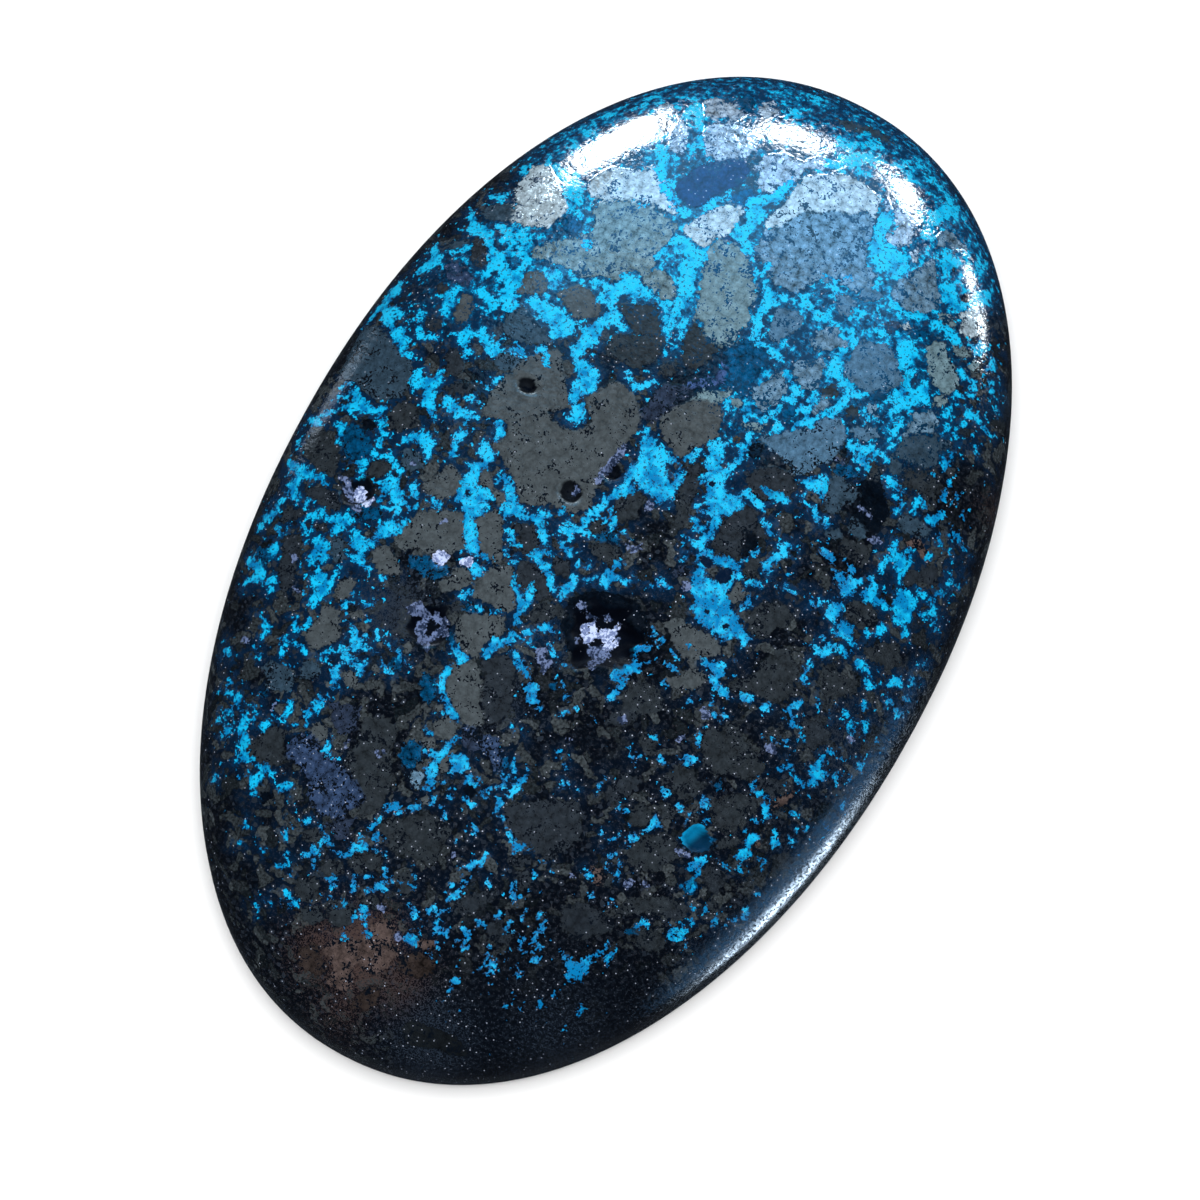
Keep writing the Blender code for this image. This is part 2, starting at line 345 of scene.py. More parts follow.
        [(776, 106), (784, 105), (788, 114), (780, 118)],
        [(408, 557), (431, 554), (434, 563), (451, 565), (448, 574), (437, 580), (428, 580), (409, 566),
         (406, 562)],
        [(465, 603), (471, 600), (477, 605), (477, 611), (469, 614), (463, 609)],
        [(417, 682), (425, 672), (434, 674), (437, 695), (431, 703), (422, 700)],
        [(445, 638), (451, 631), (457, 635), (455, 645), (451, 648)],
        [(548, 683), (556, 683), (557, 690), (549, 690)],
        [(594, 534), (606, 531), (618, 536), (622, 545), (596, 541)],
        [(830, 467), (845, 462), (862, 474), (850, 479), (838, 477)],
        [(905, 334), (918, 329), (934, 331), (941, 337), (912, 339)],
        [(864, 395), (890, 393), (886, 400), (870, 401)],
        [(353, 507), (365, 505), (380, 508), (385, 516), (375, 521), (360, 520), (350, 515)],
        [(255, 548), (268, 546), (274, 558), (266, 570), (258, 562)],
        [(342, 430), (355, 422), (372, 440), (372, 452), (362, 462), (350, 462), (343, 450)],
        [(259, 690), (266, 688), (270, 694), (264, 698)],
        [(388, 653), (400, 656), (406, 664), (398, 672), (388, 666)],
        [(403, 745), (415, 738), (421, 745), (421, 762), (412, 770), (402, 765), (398, 755)],
        [(684, 830), (700, 830), (716, 838), (713, 848), (702, 853), (692, 850), (684, 844)],
        [(681, 884), (690, 881), (698, 883), (698, 892), (688, 896), (681, 891)],
        [(502, 758), (510, 757), (511, 770), (503, 771)],
        [(714, 782), (722, 780), (724, 790), (716, 792)],
        [(624, 928), (636, 924), (636, 934), (626, 935)],
    ],
    "navy": [
        [(673, 193), (677, 184), (697, 166), (728, 158), (742, 159), (751, 165), (750, 173), (742, 184),
         (703, 205), (693, 208), (683, 204)],
        [(720, 237), (733, 234), (734, 244), (726, 242)],
    ],
    # The pale tops of clasts on the upper slope: painted reflection of the soft light, over the rock's
    # own grain and pores
    "painted_sheen_cap": [
        [(548, 161), (569, 208), (552, 227), (528, 228), (511, 221), (517, 204), (514, 192), (520, 181),
         (535, 165)],
        [(682, 227), (705, 212), (727, 203), (747, 208), (733, 230), (727, 236), (713, 241), (710, 248),
         (703, 250), (682, 230)],
        [(765, 221), (782, 204), (803, 176), (841, 173), (858, 178), (882, 199), (875, 221), (868, 212),
         (850, 215), (835, 210), (820, 214), (806, 210), (778, 228), (766, 230)],
        [(640, 171), (652, 164), (664, 178), (682, 218), (640, 200), (606, 200), (590, 197), (587, 182),
         (600, 172), (612, 166)],
        [(958, 313), (975, 305), (981, 308), (978, 335), (970, 340), (960, 332), (962, 322)],
        [(903, 324), (908, 322), (912, 327), (908, 332), (903, 330)],
    ],
    # The pale band along the top shoulder: painted reflection of the bright lights there, over the
    # rock's own grain and pores
    "painted_sheen_band": [
        [(703, 130), (712, 124), (725, 122), (740, 125), (752, 130), (760, 138), (757, 150), (745, 158),
         (715, 160), (705, 155)],
        [(672, 125), (682, 120), (690, 128), (684, 152), (675, 154), (668, 148)],
        [(755, 165), (765, 155), (785, 152), (810, 165), (788, 193), (775, 195), (762, 192), (755, 182),
         (760, 173)],
        [(805, 160), (820, 155), (830, 160), (832, 170), (808, 170)],
        [(897, 207), (905, 205), (926, 222), (918, 228), (908, 248), (898, 250), (888, 248), (885, 240),
         (888, 232), (896, 230), (893, 212)],
        [(884, 195), (890, 200), (893, 210), (888, 214), (884, 206)],
        [(703, 100), (715, 97), (730, 100), (740, 108), (745, 118), (738, 122), (725, 118), (712, 120),
         (703, 114)],
        [(658, 105), (668, 102), (676, 108), (675, 115), (665, 116), (658, 112)],
        [(758, 108), (765, 100), (775, 102), (780, 112), (770, 120), (760, 118)],
        [(909, 253), (914, 250), (920, 254), (919, 262), (912, 263)],
    ],
    "mica": [
        [(443, 268), (452, 261), (460, 264), (474, 276), (472, 282), (465, 287), (457, 285), (449, 281)],
        [(287, 743), (295, 736), (309, 734), (318, 740), (326, 756), (341, 765), (358, 783), (364, 796),
         (363, 802), (341, 819), (318, 816), (307, 796), (309, 785), (303, 771), (286, 756)],
        [(480, 737), (486, 733), (495, 734), (500, 742), (501, 767), (495, 771), (479, 745)],
        [(462, 727), (471, 725), (477, 728), (475, 734), (462, 731)],
    ],
    "rust": [
        [(905, 540), (918, 538), (931, 552), (928, 563), (921, 560), (916, 549), (908, 548)],
        [(770, 802), (794, 791), (790, 803), (774, 811)],
        [(589, 867), (605, 868), (608, 879), (598, 887), (592, 880)],
        [(747, 846), (758, 840), (762, 846), (750, 852)],
        [(323, 945), (335, 938), (350, 940), (362, 937), (372, 922), (385, 918), (395, 926), (392, 940),
         (400, 955), (388, 970), (370, 975), (355, 965), (352, 990), (345, 992), (330, 988), (325, 978),
         (335, 972), (330, 962), (322, 955)],
        [(415, 938), (435, 940), (438, 948), (425, 952), (415, 948)],
    ],
    "umber": [
        [(298, 948), (318, 942), (322, 958), (330, 968), (318, 978), (304, 972), (296, 960)],
        [(398, 958), (415, 952), (432, 958), (438, 972), (420, 980), (402, 974)],
        [(358, 995), (372, 982), (380, 990), (378, 1005), (365, 1012), (348, 1008)],
    ],
}

# Turquoise, as strings of beads: x, y and radius in the photograph's pixels
TURQUOISE = [
    [(612, 310, 5), (603, 320, 5), (592, 333, 11), (583, 345, 8), (575, 352, 7)],
    [(578, 362, 6), (586, 372, 10), (590, 380, 9), (580, 390, 9), (574, 400, 5)],
    [(580, 408, 7), (577, 418, 7)],
    [(535, 302, 7), (546, 310, 10), (560, 322, 11), (568, 328, 9), (556, 334, 7)],
    [(505, 276, 7), (516, 276, 9), (514, 284, 9), (505, 293, 6), (512, 300, 8), (508, 308, 6)],
    [(478, 290, 4), (494, 304, 6), (488, 312, 3)],
    [(458, 291, 4), (447, 296, 6), (450, 304, 6), (446, 314, 4)],
    [(466, 332, 6), (465, 342, 6), (468, 352, 4)],
    [(482, 330, 4), (484, 340, 5), (490, 350, 5), (496, 352, 6), (498, 342, 3)],
    [(513, 349, 4), (523, 353, 5)], [(538, 350, 4), (547, 350, 4), (545, 362, 3), (549, 367, 2)],
    [(418, 372, 5), (417, 382, 6), (424, 384, 7), (436, 380, 7), (441, 372, 4)],
    [(430, 386, 6), (428, 400, 8), (434, 418, 3)], [(447, 402, 6), (457, 411, 7), (476, 418, 3)],
    [(463, 398, 3), (478, 400, 3)], [(495, 382, 4), (499, 378, 3)],
    [(498, 424, 5), (502, 432, 5), (496, 439, 4)],
    [(405, 440, 4), (414, 436, 5), (424, 438, 8), (428, 446, 6), (429, 456, 3)],
    [(484, 446, 5), (489, 456, 6), (485, 464, 6), (474, 468, 6), (474, 478, 6), (470, 484, 5)],
    [(452, 453, 5), (458, 436, 4), (468, 432, 3)], [(500, 476, 4), (497, 484, 3)],
    [(508, 476, 4), (509, 488, 4), (513, 498, 5)],
    [(455, 500, 4), (464, 496, 8), (480, 496, 8), (470, 506, 9)], [(414, 488, 3), (416, 496, 4)],
    [(430, 500, 4), (440, 506, 4)],
    [(592, 282, 4), (605, 285, 6), (615, 290, 7), (610, 300, 5), (600, 300, 4)],
    [(615, 290, 7), (622, 283, 6)], [(618, 320, 5), (625, 329, 4)], [(557, 280, 7), (553, 272, 6)],
    [(628, 478, 4), (632, 490, 5), (620, 492, 4), (602, 500, 3)],
    [(400, 330, 5), (405, 340, 6), (402, 352, 4), (410, 357, 3)],
    [(422, 312, 4), (418, 322, 3), (421, 336, 4), (436, 338, 3)],
    [(648, 432, 4), (648, 444, 9), (652, 458, 13), (650, 474, 16), (656, 486, 14), (664, 490, 12)],
    [(634, 472, 8), (628, 477, 4)], [(662, 450, 5), (668, 457, 5), (676, 462, 4)],
    [(676, 482, 6), (680, 472, 4), (686, 460, 4), (694, 453, 4), (700, 450, 3)],
    [(712, 446, 6), (716, 452, 8), (714, 464, 8), (716, 490, 11), (714, 508, 9)],
    [(722, 446, 4), (730, 444, 3)], [(726, 472, 5), (740, 458, 4), (748, 440, 5), (752, 436, 3)],
    [(722, 500, 9), (735, 500, 6)], [(700, 484, 3), (705, 480, 4)], [(661, 305, 4), (668, 304, 5)],
    [(684, 300, 6), (672, 318, 6), (664, 322, 4), (671, 342, 3)],
    [(690, 275, 8), (686, 290, 8), (690, 303, 4)], [(684, 322, 5), (682, 332, 4)],
    [(625, 280, 7), (632, 290, 8), (650, 298, 3)], [(606, 318, 5), (616, 315, 6), (620, 322, 5)],
    [(755, 321, 4), (758, 328, 6), (757, 336, 4)],
    [(760, 316, 4), (766, 308, 5), (769, 298, 6), (783, 298, 4)],
    [(770, 350, 4), (776, 356, 6), (779, 349, 3)], [(767, 371, 4), (763, 377, 3)],
    [(752, 338, 4), (760, 343, 4)], [(800, 292, 4), (812, 310, 6), (820, 317, 6), (828, 316, 4)],
    [(789, 378, 3), (797, 393, 4), (793, 400, 5), (786, 397, 3)],
    [(800, 404, 4), (806, 410, 5), (808, 418, 5), (792, 428, 3)], [(808, 400, 3), (814, 396, 4)],
    [(750, 408, 4), (748, 414, 3), (745, 418, 4)], [(762, 418, 3), (772, 414, 4), (778, 408, 4)],
    [(778, 426, 4), (779, 432, 3)], [(727, 408, 4), (726, 401, 3)], [(732, 431, 4), (738, 428, 2)],
    [(628, 372, 3), (631, 378, 3)], [(634, 388, 5), (640, 390, 3)], [(645, 385, 3), (653, 382, 2)],
    [(670, 350, 4), (676, 348, 3)], [(812, 478, 5), (818, 484, 6), (825, 480, 5), (822, 492, 4)],
    [(826, 412, 4), (834, 411, 3)], [(776, 492, 3), (784, 498, 4)], [(826, 372, 4), (829, 380, 4)],
    [(548, 162, 4), (565, 178, 6), (574, 182, 8), (572, 192, 9), (578, 201, 7)],
    [(574, 212, 4), (580, 218, 4)], [(605, 118, 6), (613, 113, 4)], [(585, 133, 5), (592, 134, 6)],
    [(574, 146, 4), (572, 148, 3)], [(559, 133, 3), (563, 137, 3)], [(542, 144, 3), (540, 147, 3)],
    [(529, 152, 4), (527, 157, 4)], [(523, 168, 5), (525, 174, 4)], [(493, 196, 3), (502, 197, 4)],
    [(471, 211, 2), (474, 227, 6), (482, 230, 7), (488, 236, 5), (496, 262, 6), (485, 277, 4)],
    [(497, 226, 4), (506, 230, 6), (512, 240, 5), (510, 250, 5), (503, 257, 6)],
    [(517, 228, 6), (522, 238, 7), (530, 242, 5)],
    [(522, 238, 7), (523, 250, 5), (528, 261, 5), (523, 270, 4)],
    [(505, 268, 6), (512, 278, 6), (510, 286, 5), (503, 292, 4)],
    [(433, 249, 4), (437, 257, 6), (428, 266, 6), (421, 271, 4)],
    [(467, 245, 3), (464, 252, 5), (456, 250, 3)], [(549, 270, 4), (555, 277, 7), (563, 280, 4)],
    [(586, 242, 3), (588, 250, 3)], [(640, 206, 3), (642, 205, 3)],
    [(660, 150, 8), (664, 164, 8), (662, 176, 5), (664, 188, 5), (676, 207, 4), (684, 216, 5)],
    [(688, 112, 6), (697, 107, 7), (700, 132, 4), (699, 145, 5), (702, 154, 3)],
    [(705, 207, 4), (716, 201, 5), (728, 198, 3)],
    [(752, 213, 7), (756, 205, 9), (766, 200, 7), (775, 200, 5), (786, 190, 5), (792, 180, 3)],
    [(762, 212, 5), (748, 228, 8), (740, 236, 6), (749, 251, 5)],
    [(658, 256, 4), (664, 252, 4), (670, 243, 4), (678, 240, 6), (686, 248, 9), (694, 258, 9),
     (688, 268, 9), (685, 280, 8), (687, 292, 7)],
    [(700, 254, 7), (708, 247, 4)], [(622, 286, 6), (630, 278, 5), (640, 288, 6), (648, 294, 5)],
    [(610, 292, 5), (604, 296, 4)], [(820, 97, 7), (814, 96, 4)], [(803, 102, 3), (805, 99, 3)],
    [(784, 90, 3), (783, 93, 2)], [(644, 106, 5), (650, 98, 5), (655, 94, 3)],
    [(792, 112, 6), (800, 118, 5)], [(769, 265, 4), (766, 268, 3)], [(757, 273, 3), (760, 274, 3)],
    [(765, 288, 4), (772, 294, 6)], [(833, 164, 8), (845, 160, 7), (858, 161, 8), (868, 158, 7)],
    [(846, 146, 6), (858, 144, 5)], [(871, 146, 5), (868, 134, 4)], [(903, 169, 5), (912, 175, 5)],
    [(925, 162, 3), (933, 184, 3)], [(943, 186, 4), (950, 201, 5), (950, 210, 9), (958, 210, 5)],
    [(950, 210, 9), (938, 216, 8), (928, 228, 7)],
    [(887, 216, 8), (875, 246, 7), (875, 254, 8), (881, 263, 10), (890, 268, 9), (899, 269, 8),
     (906, 260, 5)],
    [(884, 250, 9), (896, 258, 8)], [(945, 256, 6), (952, 262, 8), (946, 270, 7)],
    [(946, 290, 6), (952, 294, 6)], [(967, 256, 4), (963, 252, 3)], [(982, 257, 4), (976, 272, 3)],
    [(974, 298, 5), (995, 293, 4), (1000, 295, 4)], [(966, 221, 3), (965, 218, 2)],
    [(827, 277, 4), (835, 281, 3)], [(848, 275, 4), (852, 278, 3)], [(835, 289, 4), (846, 290, 3)],
    [(463, 494, 8), (474, 498, 12), (484, 496, 8)], [(474, 498, 12), (474, 508, 12), (482, 512, 6)],
    [(468, 482, 8), (470, 490, 9)],
    [(470, 508, 9), (468, 516, 6), (471, 532, 6), (472, 541, 8), (474, 549, 7), (480, 553, 4),
     (487, 560, 4)],
    [(474, 565, 4), (477, 572, 7), (476, 577, 3)],
    [(507, 478, 5), (511, 496, 5), (510, 507, 8), (505, 515, 5)],
    [(510, 507, 8), (518, 510, 7), (525, 519, 4), (530, 517, 4), (537, 519, 6), (549, 514, 4)],
    [(539, 520, 5), (545, 538, 4), (545, 545, 2)], [(560, 512, 4), (562, 509, 3)],
    [(507, 526, 2), (511, 538, 4), (520, 547, 2)], [(506, 552, 4), (504, 550, 2)],
    [(530, 556, 3), (537, 553, 6), (543, 552, 4)],
    [(537, 553, 6), (540, 560, 5), (549, 573, 5), (552, 588, 4), (555, 592, 3)],
    [(550, 552, 4), (552, 550, 2)], [(515, 562, 4), (516, 559, 3)],
    [(514, 578, 3), (521, 603, 5), (517, 620, 5), (514, 626, 3)],
    [(532, 584, 3), (528, 602, 4), (523, 606, 5)],
    [(513, 633, 4), (510, 641, 5), (500, 645, 5), (494, 643, 5), (488, 651, 6), (485, 656, 4)],
    [(452, 644, 3), (461, 655, 5), (460, 661, 4)], [(461, 657, 4), (468, 659, 3)],
    [(449, 666, 4), (444, 675, 5), (441, 693, 3), (450, 708, 5)], [(480, 608, 3), (482, 610, 3)],
    [(494, 611, 3), (496, 612, 2)], [(474, 584, 2), (472, 589, 3), (463, 597, 3)],
    [(537, 629, 3), (549, 628, 5), (552, 632, 4)], [(523, 638, 4), (529, 632, 3), (530, 643, 2)],
    [(567, 663, 3), (562, 666, 3)], [(549, 646, 2), (555, 655, 3)],
    [(515, 652, 3), (519, 663, 4), (526, 671, 5), (528, 677, 4)],
    [(527, 688, 5), (534, 690, 7), (530, 697, 7), (537, 702, 5), (540, 708, 4)],
    [(562, 686, 4), (567, 695, 3), (564, 701, 3)],
    [(560, 530, 3), (572, 531, 5), (578, 529, 4), (588, 518, 5), (606, 504, 4), (620, 490, 5),
     (630, 486, 5)],
    [(567, 523, 3), (566, 528, 3)], [(571, 536, 4), (569, 539, 2)], [(588, 533, 2), (590, 535, 2)],
    [(560, 540, 3), (563, 548, 4), (569, 553, 4), (573, 548, 3)], [(576, 567, 3), (581, 563, 3)],
    [(588, 568, 3), (585, 566, 2)], [(574, 576, 3), (573, 584, 4), (567, 588, 6), (560, 601, 2)],
    [(584, 579, 2), (597, 578, 2), (606, 575, 4), (617, 565, 6)],
    [(618, 576, 4), (612, 576, 5), (607, 584, 6)], [(607, 506, 3), (615, 528, 5), (620, 531, 4)],
    [(600, 515, 2), (610, 524, 3)], [(656, 488, 14), (662, 494, 8), (659, 502, 4)],
    [(714, 508, 9), (724, 507, 10), (736, 502, 8)], [(697, 508, 4), (703, 512, 3)],
    [(696, 522, 5), (698, 528, 5), (704, 529, 3)], [(718, 518, 5), (705, 539, 6), (702, 546, 3)],
    [(697, 560, 3), (700, 552, 3), (708, 554, 4), (716, 559, 6), (727, 562, 6), (736, 567, 6),
     (738, 575, 4)],
    [(703, 564, 5), (700, 572, 6), (699, 584, 8), (700, 608, 9), (702, 619, 8)],
    [(706, 585, 8), (714, 592, 10), (722, 588, 8), (734, 574, 4)],
    [(712, 596, 12), (718, 608, 15), (721, 620, 14), (724, 632, 9), (723, 639, 4)],
    [(724, 616, 12), (733, 624, 9), (746, 640, 5)], [(712, 610, 12), (706, 624, 5)],
    [(629, 580, 4), (626, 581, 3)], [(654, 587, 3), (652, 585, 2)], [(660, 582, 4), (666, 586, 3)],
    [(686, 555, 3), (684, 554, 2)], [(690, 540, 3), (697, 546, 4)], [(746, 493, 5), (763, 508, 3)],
    [(764, 487, 3), (770, 494, 5), (786, 500, 4)], [(803, 494, 3), (800, 495, 2)],
    [(809, 484, 6), (817, 484, 7), (822, 492, 4), (822, 500, 2)], [(814, 511, 4), (818, 521, 4)],
    [(824, 520, 4), (827, 525, 4), (825, 529, 3)], [(768, 529, 5), (773, 533, 4)],
    [(762, 518, 3), (765, 524, 2)],
    [(792, 548, 3), (788, 545, 3), (782, 547, 4), (785, 553, 4), (770, 561, 5), (767, 568, 6)],
    [(757, 551, 3), (746, 561, 2)], [(744, 589, 2), (751, 582, 2), (757, 585, 4)],
    [(752, 599, 4), (747, 603, 5), (743, 607, 3)], [(784, 582, 2), (787, 588, 3), (794, 594, 3)],
    [(811, 603, 4), (817, 604, 4)], [(836, 602, 4), (834, 609, 6), (830, 614, 5)],
    [(823, 637, 3), (821, 635, 2)], [(816, 648, 3), (822, 657, 3), (826, 650, 5), (832, 645, 4)],
    [(808, 664, 3), (804, 680, 4)], [(793, 707, 4), (800, 702, 3)], [(817, 701, 3), (820, 699, 2)],
    [(735, 655, 4), (736, 660, 3)], [(652, 628, 3), (654, 637, 3)], [(664, 640, 4), (663, 644, 3)],
    [(671, 650, 4), (675, 657, 3)], [(689, 646, 4), (690, 649, 3)], [(668, 664, 4), (674, 669, 3)],
    [(634, 656, 3), (637, 650, 6), (646, 649, 6), (650, 641, 3)],
    [(650, 661, 3), (623, 671, 8), (616, 678, 6)], [(616, 666, 3), (618, 672, 5)],
    [(624, 680, 5), (619, 690, 5), (609, 699, 3)], [(704, 662, 4), (718, 669, 8), (721, 675, 6)],
    [(714, 680, 6), (717, 686, 4), (724, 692, 5), (729, 699, 3)],
    [(742, 696, 4), (748, 700, 5), (751, 705, 3)], [(763, 706, 4), (770, 706, 3)],
    [(712, 702, 3), (711, 706, 2)], [(690, 702, 3), (692, 694, 2)], [(664, 682, 4), (666, 686, 3)],
    [(845, 330, 4), (851, 335, 6), (853, 341, 4)],
    [(846, 350, 4), (839, 358, 6), (835, 367, 7), (836, 376, 6)],
    [(841, 381, 5), (850, 387, 6), (857, 394, 5)], [(846, 397, 5), (837, 410, 6), (831, 415, 3)],
    [(814, 397, 5), (812, 405, 4)], [(814, 419, 5), (808, 424, 4)],
    [(893, 341, 3), (902, 341, 6), (909, 348, 8), (913, 356, 6), (906, 364, 7)],
    [(898, 347, 5), (903, 357, 5)],
    [(914, 373, 3), (908, 380, 5), (905, 389, 6), (896, 394, 6), (893, 400, 4)],
    [(926, 384, 4), (924, 392, 8), (905, 404, 8), (895, 410, 4), (886, 416, 4), (880, 424, 3)],
    [(924, 396, 6), (925, 404, 3)], [(905, 418, 3), (893, 433, 5), (890, 440, 3)],
    [(893, 445, 3), (892, 448, 2)], [(856, 447, 5), (863, 451, 6), (870, 448, 5), (879, 454, 3)],
    [(863, 451, 6), (862, 460, 6), (865, 466, 5)], [(850, 440, 3), (850, 448, 4)],
    [(864, 410, 4), (869, 419, 3)],
    [(890, 304, 4), (912, 316, 4), (925, 317, 5), (935, 322, 4), (954, 339, 5), (962, 345, 3)],
    [(948, 288, 8), (950, 300, 8), (957, 308, 6), (997, 294, 5)],
    [(976, 347, 5), (982, 346, 6), (978, 353, 5)], [(1004, 347, 3), (1005, 350, 3)],
    [(992, 358, 3), (993, 364, 4), (987, 370, 4)], [(962, 371, 4), (965, 378, 3)],
    [(970, 380, 3), (976, 381, 3), (970, 398, 3)], [(955, 394, 3), (963, 398, 2)],
    [(955, 404, 3), (948, 411, 4), (945, 416, 3)], [(990, 383, 3), (993, 393, 3)],
    [(1006, 389, 3), (1006, 396, 3)], [(972, 408, 3), (968, 416, 3), (976, 418, 3), (988, 434, 3)],
    [(965, 424, 3), (962, 426, 2)], [(1000, 415, 2), (998, 413, 2)],
    [(946, 424, 3), (948, 430, 3), (943, 434, 2)], [(953, 434, 3), (955, 437, 3)],
    [(976, 447, 2), (976, 452, 3)], [(944, 459, 4), (947, 462, 5), (946, 468, 4)],
    [(954, 455, 2), (951, 453, 2)], [(933, 474, 3), (935, 472, 2)], [(950, 482, 2), (950, 486, 2)],
    [(946, 489, 4), (944, 497, 5), (940, 501, 3)], [(953, 489, 2), (957, 496, 3), (952, 502, 2)],
    [(993, 486, 3), (994, 483, 2)], [(889, 462, 3), (889, 466, 2)],
    [(888, 476, 3), (893, 483, 5), (899, 490, 4)], [(895, 496, 4), (900, 503, 3)],
    [(916, 500, 3), (922, 504, 4)], [(886, 287, 4), (884, 291, 3)], [(859, 312, 4), (856, 318, 3)],
    [(875, 308, 4), (880, 316, 3)], [(882, 332, 4), (878, 338, 3)],
    [(902, 503, 3), (899, 509, 4), (892, 509, 3)], [(914, 511, 4), (916, 508, 3)],
    [(922, 500, 4), (925, 507, 3)], [(928, 519, 5), (934, 524, 4)],
    [(942, 513, 4), (936, 518, 4), (930, 517, 3)], [(963, 512, 3), (964, 521, 3)],
    [(950, 524, 3), (952, 525, 3)], [(937, 534, 3), (940, 543, 3)],
    [(950, 536, 4), (957, 535, 4), (964, 547, 3)], [(951, 552, 3), (949, 554, 2)],
    [(908, 552, 5), (909, 555, 4)],
    [(896, 543, 3), (892, 549, 4), (895, 556, 6), (902, 563, 8), (910, 564, 5)],
    [(902, 563, 8), (899, 578, 3)], [(890, 558, 4), (880, 567, 4)], [(928, 557, 4), (927, 560, 3)],
    [(822, 548, 3), (828, 555, 6), (833, 560, 5)], [(844, 559, 3), (846, 561, 2)],
    [(849, 568, 4), (854, 571, 4)], [(834, 570, 3), (847, 585, 8), (843, 592, 5), (851, 594, 4)],
    [(853, 581, 3), (862, 582, 3), (868, 578, 4), (873, 584, 4), (872, 591, 6)],
    [(863, 594, 5), (870, 597, 7), (885, 605, 5)], [(837, 600, 4), (838, 608, 6), (832, 614, 6)],
    [(841, 623, 6), (846, 631, 8), (850, 638, 4)], [(838, 634, 5), (844, 630, 7)],
    [(852, 642, 3), (855, 645, 3)], [(884, 626, 3), (880, 630, 4), (877, 635, 3)],
    [(865, 633, 4), (869, 635, 3)], [(902, 586, 3), (904, 602, 11), (903, 611, 11), (900, 619, 6)],
    [(903, 611, 10), (908, 619, 5)], [(893, 604, 3), (898, 602, 6)], [(912, 599, 4), (914, 605, 3)],
    [(915, 611, 3), (921, 614, 3)], [(903, 624, 3), (905, 631, 3), (902, 637, 2)],
    [(918, 585, 2), (923, 595, 3)], [(929, 599, 3), (935, 594, 3), (942, 594, 4), (939, 600, 3)],
    [(930, 600, 2), (933, 607, 3), (932, 616, 3), (936, 623, 3)], [(936, 632, 2), (935, 629, 2)],
    [(952, 577, 3), (949, 585, 2)], [(965, 579, 3), (970, 586, 4), (962, 588, 3)],
    [(856, 660, 3), (859, 664, 5), (861, 668, 4)], [(867, 669, 3), (872, 676, 2)],
    [(878, 667, 3), (879, 670, 2)], [(867, 682, 4), (873, 687, 3)],
    [(889, 686, 3), (897, 682, 5), (901, 677, 2)], [(913, 680, 3), (911, 687, 2)],
    [(925, 680, 4), (923, 685, 3)], [(943, 661, 3), (943, 668, 4)], [(924, 667, 3), (928, 670, 3)],
    [(906, 700, 4), (910, 698, 3)], [(889, 701, 4), (895, 705, 3)], [(863, 700, 3), (864, 706, 4)],
    [(840, 646, 3), (846, 654, 4)],
    [(289, 460, 3), (294, 466, 6), (303, 472, 7), (312, 476, 5), (320, 478, 5), (326, 484, 2)],
    [(300, 476, 6), (294, 484, 5), (292, 492, 7), (297, 497, 4)],
    [(282, 500, 2), (273, 513, 5), (267, 517, 4)], [(262, 516, 5), (256, 521, 5), (261, 528, 3)],
    [(309, 502, 4), (306, 505, 2)],
    [(321, 509, 3), (325, 516, 3), (332, 520, 5), (342, 519, 6), (349, 521, 5)],
    [(346, 524, 5), (337, 527, 7), (333, 532, 4)],
    [(353, 526, 3), (357, 533, 4), (358, 544, 8), (350, 543, 3)], [(358, 544, 8), (364, 549, 5)],
    [(354, 556, 5), (360, 560, 6), (364, 566, 4), (371, 568, 3)],
    [(366, 546, 4), (388, 526, 6), (396, 529, 6), (404, 521, 3)], [(388, 535, 4), (396, 532, 4)],
    [(395, 480, 5), (397, 488, 6), (396, 497, 6), (401, 503, 4), (410, 499, 2)],
    [(396, 505, 3), (398, 512, 4), (394, 519, 3)], [(386, 485, 6), (385, 493, 5)],
    [(378, 484, 3), (383, 480, 2)], [(380, 500, 4), (377, 503, 2)], [(390, 511, 2), (385, 508, 2)],
    [(413, 484, 3), (414, 491, 4), (411, 497, 3)], [(410, 506, 3), (409, 515, 4), (404, 521, 3)],
    [(314, 515, 4), (307, 517, 3)], [(303, 522, 2), (303, 527, 3), (308, 532, 3)],
    [(318, 540, 5), (323, 546, 7), (325, 554, 6), (321, 561, 4)],
    [(319, 548, 7), (313, 556, 6), (308, 570, 2)], [(305, 541, 3), (307, 545, 2)],
    [(276, 528, 3), (278, 532, 3), (283, 534, 3), (287, 527, 2)],
    [(272, 548, 5), (275, 553, 4), (270, 556, 3)],
    [(250, 561, 5), (258, 567, 6), (261, 576, 5), (246, 583, 3)],
    [(315, 580, 6), (323, 577, 6), (322, 588, 10), (329, 584, 5)],
    [(316, 594, 5), (312, 600, 4), (314, 607, 3)], [(333, 576, 2), (338, 570, 3)],
    [(268, 583, 4), (275, 580, 3), (271, 590, 3)], [(345, 604, 4), (345, 613, 2)],
    [(351, 596, 2), (354, 589, 3), (358, 584, 2)], [(356, 604, 3), (359, 606, 2)],
    [(369, 607, 4), (373, 602, 3)], [(367, 614, 2), (369, 620, 2)], [(380, 578, 2), (385, 578, 3)],
    [(294, 618, 3), (296, 626, 4), (299, 630, 3)], [(307, 626, 3), (311, 620, 3)],
    [(263, 618, 3), (266, 627, 3), (262, 638, 2)], [(354, 625, 3), (356, 642, 7), (352, 649, 4)],
    [(362, 642, 4), (364, 649, 3)], [(365, 636, 2), (376, 631, 2), (377, 638, 3)],
    [(376, 651, 3), (373, 648, 2)],
    [(342, 650, 3), (346, 656, 5), (352, 662, 4), (362, 667, 5), (361, 675, 3)],
    [(341, 652, 2), (332, 651, 2), (325, 653, 3), (321, 658, 3)], [(388, 643, 2), (391, 649, 2)],
